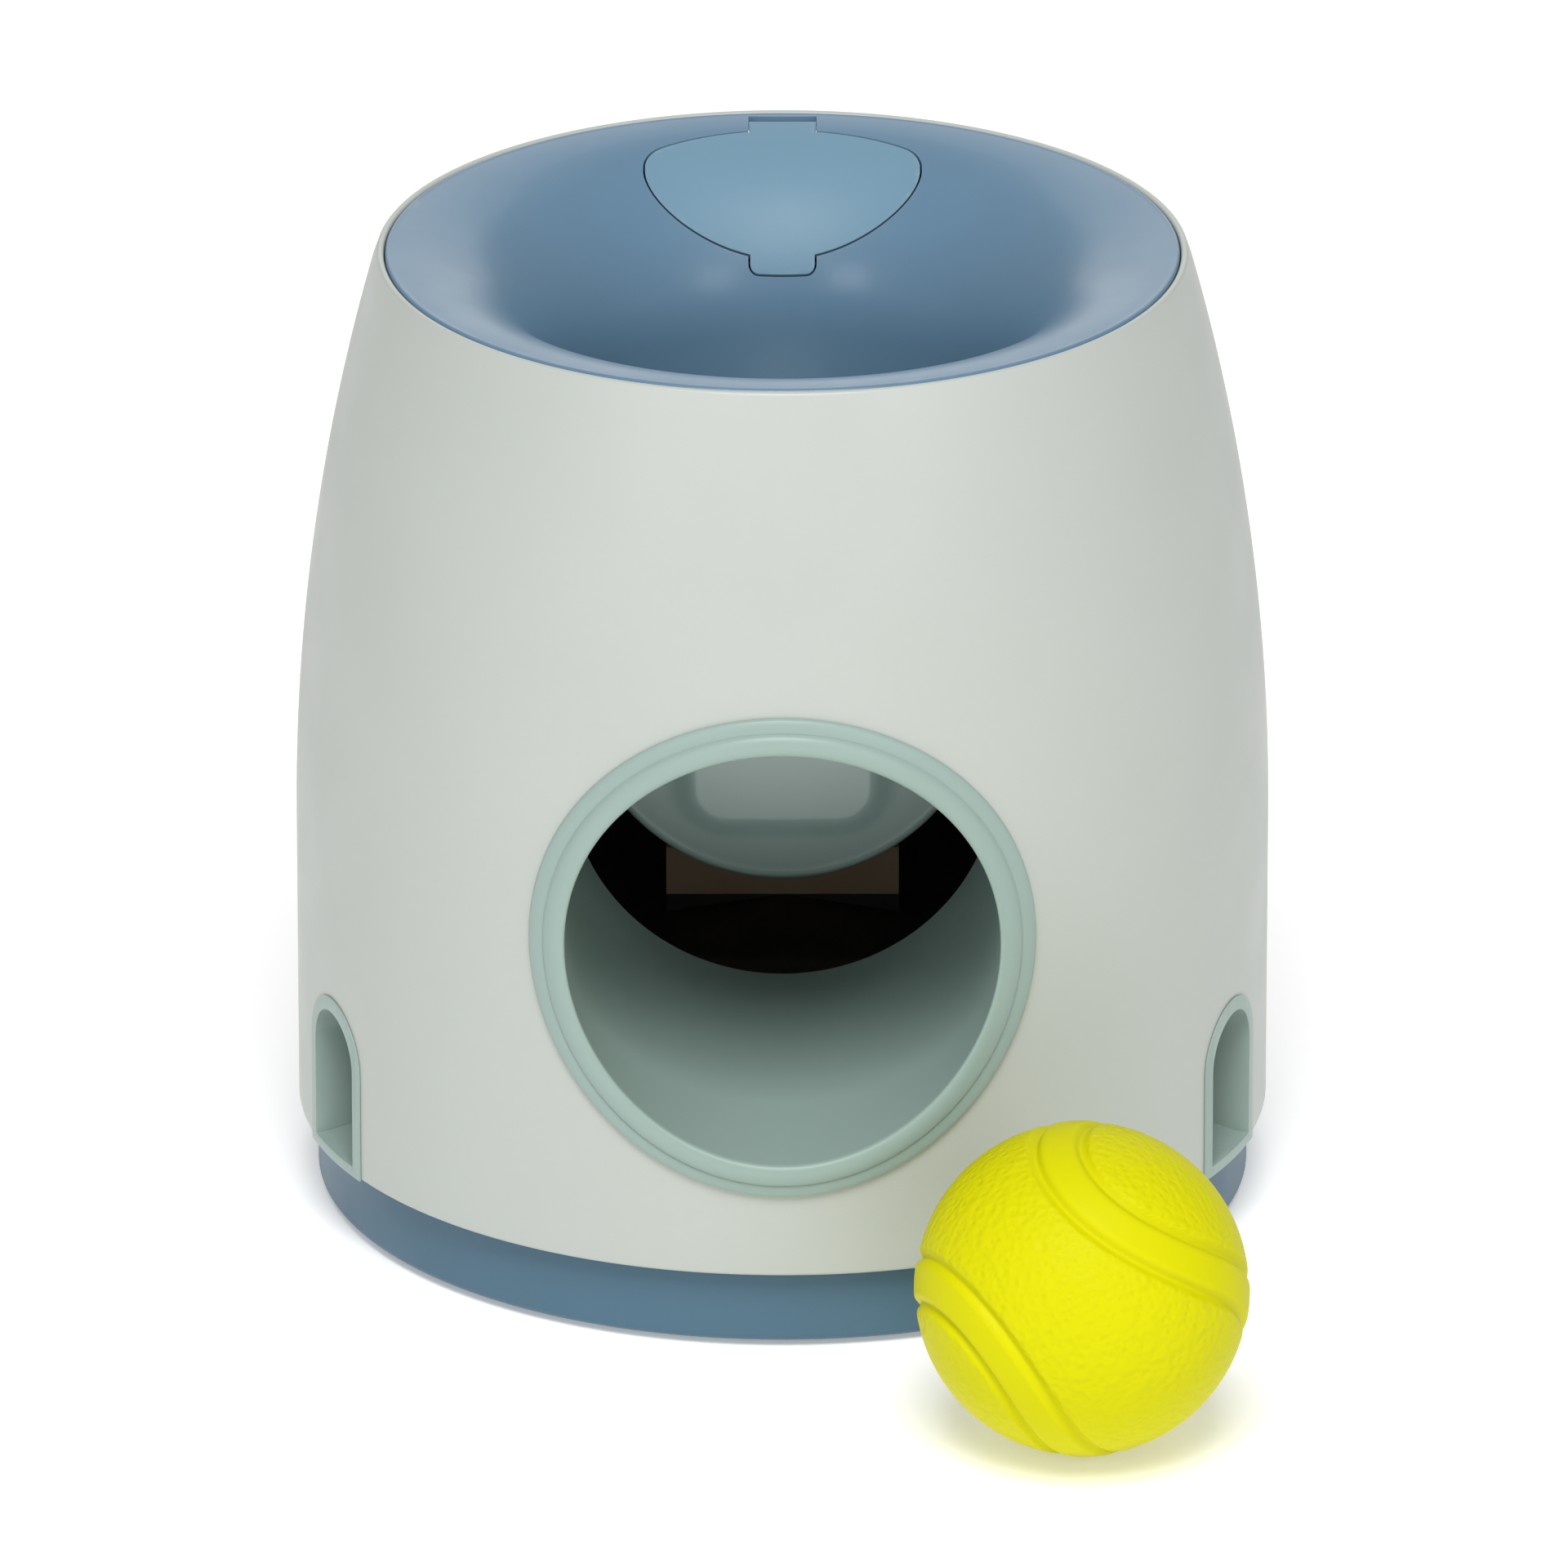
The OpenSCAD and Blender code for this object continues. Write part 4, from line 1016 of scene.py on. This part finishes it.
@dataclass
class BallTube:
    """The port's raised ring, its collar and the open-topped trough behind it."""

    sizes: Sizes
    material: bpy.types.Material
    ring_w: float = 0.0044
    collar_gap: float = 0.00254
    band_h: float = 0.0016
    bead_h: float = 0.0027
    bead_half: float = 0.0021
    seam: float = 0.0001
    band_start: float = 0.0004
    band_end: float = 0.001
    band_fall: float = 0.0003
    edge_round: float = 0.0006
    under: float = 0.001
    segments: int = 192

    def front(self, x: float, z: float) -> float:
        """Y of the shell's outer face in front of a point."""
        r = self.sizes.side_r(z)
        return -math.sqrt(max(0.0, r * r - x * x))

    def ring(self, radius: float, proud: float, share: float) -> list[Vector]:
        """One ring of points about the port's axis.

        Args:
            radius: The ring's radius.
            proud: Its height above the shell's surface.
            share: 0 on the shell's surface, and 1 on the trough's flat rear end.

        Returns:
            The ring's points.
        """
        points = []
        for i in range(self.segments):
            a = 2 * math.pi * i / self.segments
            x, z = radius * math.cos(a), self.sizes.port_z + radius * math.sin(a)
            near = self.front(x, z) - proud
            points.append(Vector((x, near + (self.sizes.trough_end - near) * share, z)))
        return points

    def profile(self) -> list[tuple[float, float, float]]:
        """Radius, height above the shell and share of the way back, along the ring's closed section."""
        s = self.sizes
        bore, tube, outer = s.port_r, s.tube_r, s.tube_r + self.ring_w
        shares = [0.0, 0.02, 0.06, 0.12, 0.2, 0.3, 0.4, 0.5, 0.6, 0.7, 0.8, 0.9, 0.97, 1.0]
        half, bend = self.bead_half, self.edge_round
        bead_c, bead_end = bore + half, bore + 2 * half
        bead_rise = self.bead_h - self.band_h
        rows = [(bore, -self.under, share) for share in reversed(shares)]
        rows += [(bore, 0.0, 0.0), (bore, self.band_h * 0.6, 0.0)]
        for a in range(170, 0, -15):
            turn = math.radians(a)
            rows.append((bead_c + half * math.cos(turn), self.band_h + bead_rise * math.sin(turn), 0.0))
        rows += [(bead_end + self.seam, self.band_h - self.seam, 0.0)]
        rows += [(bead_end + self.band_start, self.band_h, 0.0)]
        rows += [(outer - self.band_end, self.band_h - self.band_fall, 0.0)]
        for a in (60, 35, 10):
            turn = math.radians(a)
            rows.append((outer - bend + bend * math.cos(turn), bend + bend * math.sin(turn), 0.0))
        rows += [(outer, self.seam, 0.0), (tube, self.seam, 0.0)]
        rows += [(tube, -self.under, share) for share in shares]
        return rows

    def build(self) -> None:
        """Models the tube and hands it over."""
        s = self.sizes
        tube = loft("port_tube", [self.ring(*row) for row in self.profile()], closed=True)
        collar_end = -(s.throat_r + s.wall + self.collar_gap)
        open_top = block("open_top", (-FAR, collar_end, s.port_z), (FAR, FAR, FAR))
        carve(tube, Cut.AWAY, open_top)
        hand_over(shaded(tube, 40), self.material, "root", "ball_tube")


class Side(Enum):
    """The feeder's two sides, as the sign of X."""

    LEFT = -1
    RIGHT = 1


@dataclass
class TreatOutlet:
    """One arched treat outlet: its liner, sloping floor and raised lip."""

    sizes: Sizes
    side: Side
    material: bpy.types.Material
    lip: float = 0.0008
    proud: float = 0.0004
    length: float = 0.017
    slope: float = 8.0
    edge_round: float = 0.0003
    collar_depth: float = 0.006
    wedge_sink: float = 0.0005
    wedge_side: float = 0.0002
    rim_top: float = 0.1
    rim_points: int = 512

    def build(self) -> None:
        """Models the outlet and hands it over."""
        s, side = self.sizes, self.side.value
        form = OutletForm(s)
        inner, outer, beyond = s.shell_r - self.length, s.shell_r + self.proud, s.shell_r + OVER
        floor = s.shell_bottom + s.outlet_wall
        name = f"treat_spout_{self.side.name.lower()}"
        liner = form.prism(name, side, s.outlet_wall, s.shell_bottom, inner, beyond)
        grow, near = s.outlet_wall + self.lip, s.shell_r - self.collar_depth
        collar = form.prism("collar", side, grow, s.shell_bottom, near, beyond)
        bottom, top = (0, 0, -OVER), (0, 0, self.rim_top)
        core = rod("core", s.shell_r + s.seat_gap / 2, bottom, top, self.rim_points)
        carve(collar, Cut.AWAY, core)
        carve(liner, Cut.WITH, collar)
        carve(liner, Cut.INSIDE, rod("rim", outer, bottom, top, self.rim_points))
        carve(liner, Cut.AWAY, form.prism("passage", side, 0.0, floor, inner - OVER, beyond + OVER))
        rise = self.length * math.tan(math.radians(self.slope))
        sunk, half = floor - self.wedge_sink, s.outlet_w / 2 + self.wedge_side
        wedge = plate(
            "wedge", [(inner, sunk), (s.shell_r, sunk), (inner, floor + rise)], -half, half)
        lay = Matrix(((1, 0, 0, 0), (0, 0, 1, 0), (0, 1, 0, 0), (0, 0, 0, 1)))
        turned(wedge, Matrix.Rotation(math.radians(side * s.outlet_angle - 90), 4, "Z") @ lay)
        clean(wedge)
        carve(liner, Cut.WITH, wedge)
        rounded(liner, self.edge_round)
        node = f"{self.side.name.lower()}_outlet"
        hand_over(shaded(liner), self.material, "root", node)


@dataclass
class BasePan:
    """The blue base: its rounded edge, floor, spigot and screw posts."""

    sizes: Sizes
    shell: ShellBody
    material: bpy.types.Material
    lift: float = 0.001
    top: float = 0.0224
    wall: float = 0.0023
    floor_low: float = 0.0025
    floor_top: float = 0.005
    pad_space: float = 0.0742
    foot_round: float = 0.0016
    hub: float = 0.0005
    head_r: float = 0.0032
    head_top: float = 0.007
    post_sink: float = 0.001
    bore_top: float = 0.05

    def section(self) -> list[Point2]:
        """The open half section, from the underside's middle round the edge to the floor's middle."""
        s = self.sizes
        foot = (s.base_r - self.foot_round, self.lift + self.foot_round)
        rows = [(self.hub, self.floor_low), (self.pad_space, self.floor_low), (self.pad_space, self.lift)]
        rows += arc(foot, self.foot_round, -90, 0, 7)
        rows += [(s.base_r, z) for z in span(foot[1], self.top, 6)[1:]]
        inner = s.base_r - self.wall
        return rows + [(inner, self.top), (inner, self.floor_top), (self.hub, self.floor_top)]

    def build(self) -> None:
        """Models the base and hands it over."""
        s, shell = self.sizes, self.shell
        base = lathe("base_foot", self.section(), closed=False)
        posts, bores = [], []
        for angle in shell.screw_angles:
            turn = Matrix.Rotation(math.radians(angle - 90), 4, "Z")
            at = turn @ Vector((s.base_r - shell.screw_inset, 0, 0))
            x, y = at.x, at.y
            foot = self.floor_top - self.post_sink
            posts.append(rod("post", shell.lug_r, (x, y, foot), (x, y, shell.lug_low)))
            bores.append(rod("bore", shell.screw_r + s.seat_gap, (x, y, 0), (x, y, self.bore_top), 32))
            bores.append(rod("recess", self.head_r, (x, y, -self.lift), (x, y, self.head_top)))
        carve(base, Cut.WITH, *posts)
        form = OutletForm(s)
        for side in Side:
            bores.append(form.notch(side.value, s.shell_bottom - s.seat_gap))
        carve(base, Cut.AWAY, *bores)
        hand_over(shaded(base), self.material, "root", "base_pan")


@dataclass
class TriggerPaddle:
    """The slanted dish that the ball lands on, with its soft-edged pocket and hinge barrel."""

    sizes: Sizes
    material: bpy.types.Material
    slope: float = 48.0
    reach: float = 0.039
    drop: float = 0.042
    radius: float = 0.040
    dish_r: float = 0.170
    thickness: float = 0.0022
    pocket_half: float = 0.0198
    pocket_start: float = 0.0115
    pocket_depth: float = 0.0070
    pocket_corner: float = 0.009
    pocket_soft: float = 0.0050
    barrel_r: float = 0.006
    barrel_half: float = 0.0417
    bore_r: float = 0.00251
    segments: int = 192
    rings: int = 44
    middle: float = 0.0005

    def pocket(self, x: float, s: float) -> float:
        """How far a point lies in the pocket.

        Args:
            x: Distance to the right of the paddle's middle.
            s: Distance from the paddle's lower edge.

        Returns:
            0 outside and 1 on the pocket's floor.
        """
        deep = 2 * self.radius
        across = abs(x) - (self.pocket_half - self.pocket_corner)
        along = abs(s - (self.pocket_start + deep / 2)) - (deep / 2 - self.pocket_corner)
        beyond = math.hypot(max(across, 0.0), max(along, 0.0))
        out = beyond + min(max(across, along), 0.0) - self.pocket_corner
        return ease(0.5 - out / self.pocket_soft)

    def face(self, x: float, s: float) -> float:
        """Height of the paddle's face over its rim's plane."""
        rho = min(self.radius, math.hypot(x, s - self.radius))
        rim = math.sqrt(self.dish_r**2 - self.radius**2)
        dish = rim - math.sqrt(self.dish_r**2 - rho**2)
        return dish + (min(dish, -self.pocket_depth) - dish) * self.pocket(x, s)

    def ring(self, rho: float, depth: float) -> list[Vector]:
        """One ring of points around the dish's middle, at a depth below its face."""
        points = []
        for i in range(self.segments):
            a = 2 * math.pi * i / self.segments
            x, s = rho * math.cos(a), self.radius + rho * math.sin(a)
            points.append(Vector((x, s, self.face(x, s) - depth)))
        return points

    def build(self) -> None:
        """Models the paddle and hands it over."""
        edge = self.thickness / 2
        radii = span(self.middle, self.radius - edge, self.rings)
        rows = [self.ring(rho, 0.0) for rho in radii]
        for a in (60, 30, 0, -30, -60):
            turn = math.radians(a)
            rho = self.radius - edge + edge * math.cos(turn)
            rows.append(self.ring(rho, edge - edge * math.sin(turn)))
        rows += [self.ring(rho, self.thickness) for rho in reversed(radii)]
        dish = loft("trigger_dish", rows)
        lean = math.radians(self.slope)
        barrel_s = self.reach * math.cos(lean) + self.drop * math.sin(lean)
        carve(dish, Cut.AWAY, block("rear", (-FAR, barrel_s, -FAR), (FAR, FAR, FAR)))
        y, z = self.sizes.axle
        place = Matrix.Translation((0, y - self.reach, z - self.drop)) @ Matrix.Rotation(lean, 4, "X")
        turned(dish, place)
        half = self.barrel_half
        carve(dish, Cut.WITH, rod("barrel", self.barrel_r, (-half, y, z), (half, y, z), 96))
        carve(dish, Cut.AWAY, rod("axle_bore", self.bore_r, (-FAR, y, z), (FAR, y, z), 64))
        hand_over(shaded(dish, 40), self.material, "paddle", "trigger_paddle")


@dataclass
class RubberBall:
    """The loose rubber ball, with a tennis ball's seam as a smooth band between two grooves."""

    material: bpy.types.Material
    cuts: int = 120
    seam_share: float = 0.246
    seam_turn: tuple[float, float, float] = (163.9, -25.0, 2.9)
    view_pitch: float = 21.94
    band_half: float = 0.0045
    groove_half: float = 0.0009
    groove_depth: float = 0.0011
    band_rise: float = 0.0002
    samples: int = 900

    def seam(self) -> KDTree:
        """Points of the seam's middle line on a unit ball, as it lies in the part's frame."""
        pitch = math.radians(self.view_pitch)
        view = Matrix((
            (1, 0, 0), (0, math.sin(pitch), -math.cos(pitch)), (0, math.cos(pitch), math.sin(pitch))))
        turn = view @ Euler([math.radians(a) for a in self.seam_turn], "XYZ").to_matrix()
        b = self.seam_share
        a, c = 1 - b, 2 * math.sqrt(b * (1 - b))
        tree = KDTree(self.samples)
        for i in range(self.samples):
            t = 2 * math.pi * i / self.samples
            x, y = a * math.cos(t) + b * math.cos(3 * t), a * math.sin(t) - b * math.sin(3 * t)
            point = Vector((x, y, c * math.sin(2 * t)))
            tree.insert(turn @ point.normalized(), i)
        tree.balance()
        return tree

    def build(self) -> None:
        """Models the ball and hands it over."""
        low, high = (Vector(corner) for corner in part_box("ball"))
        centre, radius = (low + high) / 2, (high.z - low.z) / 2
        tree = self.seam()
        deselect()
        bpy.ops.mesh.primitive_cube_add(size=2)
        ball = settle(bpy.context.object, "rubber_ball")
        with editing(ball):
            bpy.ops.mesh.subdivide(number_cuts=self.cuts)
        away: list[float] = []

        def moulded(at: Vector) -> Vector:
            """Where a point of the cube goes on the ball's moulded face."""
            out = Vector(math.tan(v * math.pi / 4) for v in at).normalized()
            distance = tree.find(out)[2] * radius
            away.append(distance)
            side = (distance - self.band_half) / self.groove_half
            rise = self.band_rise * ease(-side / 2) - self.groove_depth * math.exp(-side * side)
            return centre + out * (radius - self.band_rise + rise)

        reshaped(ball, moulded)
        field_mask = ball.data.attributes.new("field", "FLOAT", "POINT")
        shares = [ease((d - self.band_half) / self.groove_half - 1) for d in away]
        field_mask.data.foreach_set("value", shares)
        hand_over(shaded(clean(ball), 180), self.material, "ball", "ball")


@dataclass
class Mechanism:
    """The CAD nodes that show as they are: the inner mechanism, fasteners and rubber pad."""

    frame: dict
    materials: dict[str, bpy.types.Material]

    def dress(self) -> None:
        """Gives every CAD node the material of its slot."""
        for part in self.frame["record"]["subparts"]:
            node = self.frame["nodes"][part["node"]]
            dress(node, self.materials[part["material_slot"]])
        log.info("dressed %d CAD nodes", len(self.frame["nodes"]))


@dataclass(frozen=True)
class Softbox:
    """A square studio light that faces a point near the object's middle."""

    name: str
    place: tuple[float, float, float]
    size: float
    power: float
    aim: tuple[float, float, float] = (0.0, 0.0, 0.09)

    def build(self) -> None:
        """Adds the light."""
        deselect()
        turn = (Vector(self.aim) - Vector(self.place)).to_track_quat("-Z", "Y").to_euler()
        bpy.ops.object.light_add(type="AREA", location=self.place, rotation=turn)
        lamp = bpy.context.object
        lamp.name = self.name
        lamp.data.size = self.size
        lamp.data.energy = self.power


@dataclass
class Studio:
    """The photograph's camera, a pale floor and soft light."""

    kit: ShaderKit
    camera_at: tuple[float, float, float] = (0.0003, -3.8, 1.611)
    pitch_down: float = 21.94
    lens: float = 481.06
    sensor: float = 36.0
    clip_end: float = 50.0
    floor_size: float = 12.0
    floor_z: float = -0.0002
    floor_finish: Finish = Finish(
        "StudioFloor", (0.92, 0.92, 0.92), 0.8, specular=0.1, grain=0.0, tone=0.0, handling=0.0, edge=0.0)
    floor_glow: float = 0.28
    world: float = 0.3
    softboxes: tuple[Softbox, ...] = (
        Softbox("key", (0.0, -1.52, 2.32), 1.3, 60.0),
        Softbox("side_left", (-1.6, -2.4, 1.1), 1.0, 9.0),
        Softbox("side_right", (1.6, -2.4, 1.1), 1.0, 9.0),
        Softbox("back", (0.0, 2.6, 1.2), 2.2, 14.0),
    )

    def camera(self) -> None:
        """Adds the camera where the photograph was taken from."""
        deselect()
        turn = (math.radians(90 - self.pitch_down), 0.0, 0.0)
        bpy.ops.object.camera_add(location=self.camera_at, rotation=turn)
        seen = bpy.context.object
        seen.name = "photo_camera"
        seen.data.sensor_width = self.sensor
        seen.data.lens = self.lens
        seen.data.clip_end = self.clip_end
        bpy.context.scene.camera = seen

    def floor(self) -> None:
        """Adds the plain floor."""
        deselect()
        bpy.ops.mesh.primitive_plane_add(size=self.floor_size, location=(0, 0, self.floor_z))
        ground = settle(bpy.context.object, "studio_floor")
        paper = self.floor_finish.material(self.kit)
        shader = paper.node_tree.nodes["Principled BSDF"]
        shader.inputs["Emission Color"].default_value = (1.0, 1.0, 1.0, 1.0)
        shader.inputs["Emission Strength"].default_value = self.floor_glow
        dress(ground, paper)

    def light(self) -> None:
        """Adds the softboxes and the even light around them."""
        for box in self.softboxes:
            box.build()
        scene = bpy.context.scene
        scene.world = bpy.data.worlds.new("studio_world")
        scene.world.use_nodes = True
        sky = scene.world.node_tree.nodes["Background"]
        sky.inputs["Color"].default_value = (1.0, 1.0, 1.0, 1.0)
        sky.inputs["Strength"].default_value = self.world
        scene.view_settings.view_transform = "Standard"

    def build(self) -> None:
        """Sets the whole studio up."""
        self.camera()
        self.floor()
        self.light()
        log.info("studio ready")


def main() -> None:
    """Builds and dresses the feeder, piece by piece."""
    logging.basicConfig(level=logging.INFO, format="%(name)s: %(message)s")
    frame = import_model()
    kit = ShaderKit()
    materials = {slot: finish.material(kit) for slot, finish in FINISHES.items()}
    sizes = Sizes.from_frame()
    Mechanism(frame, materials).dress()
    shell = ShellBody(sizes, materials["shell_plastic"])
    lid = LidForm(sizes)
    shell.build()
    TopBowl(sizes, lid, materials["blue_plastic"]).build()
    TreatLid(sizes, lid, materials["lid_plastic"]).build()
    BallTube(sizes, materials["sage_plastic"]).build()
    for side in Side:
        TreatOutlet(sizes, side, materials["sage_plastic"]).build()
    BasePan(sizes, shell, materials["base_plastic"]).build()
    TriggerPaddle(sizes, materials["sage_plastic"]).build()
    RubberBall(materials["ball_rubber"]).build()
    Studio(kit).build()


if __name__ == "__main__":
    main()
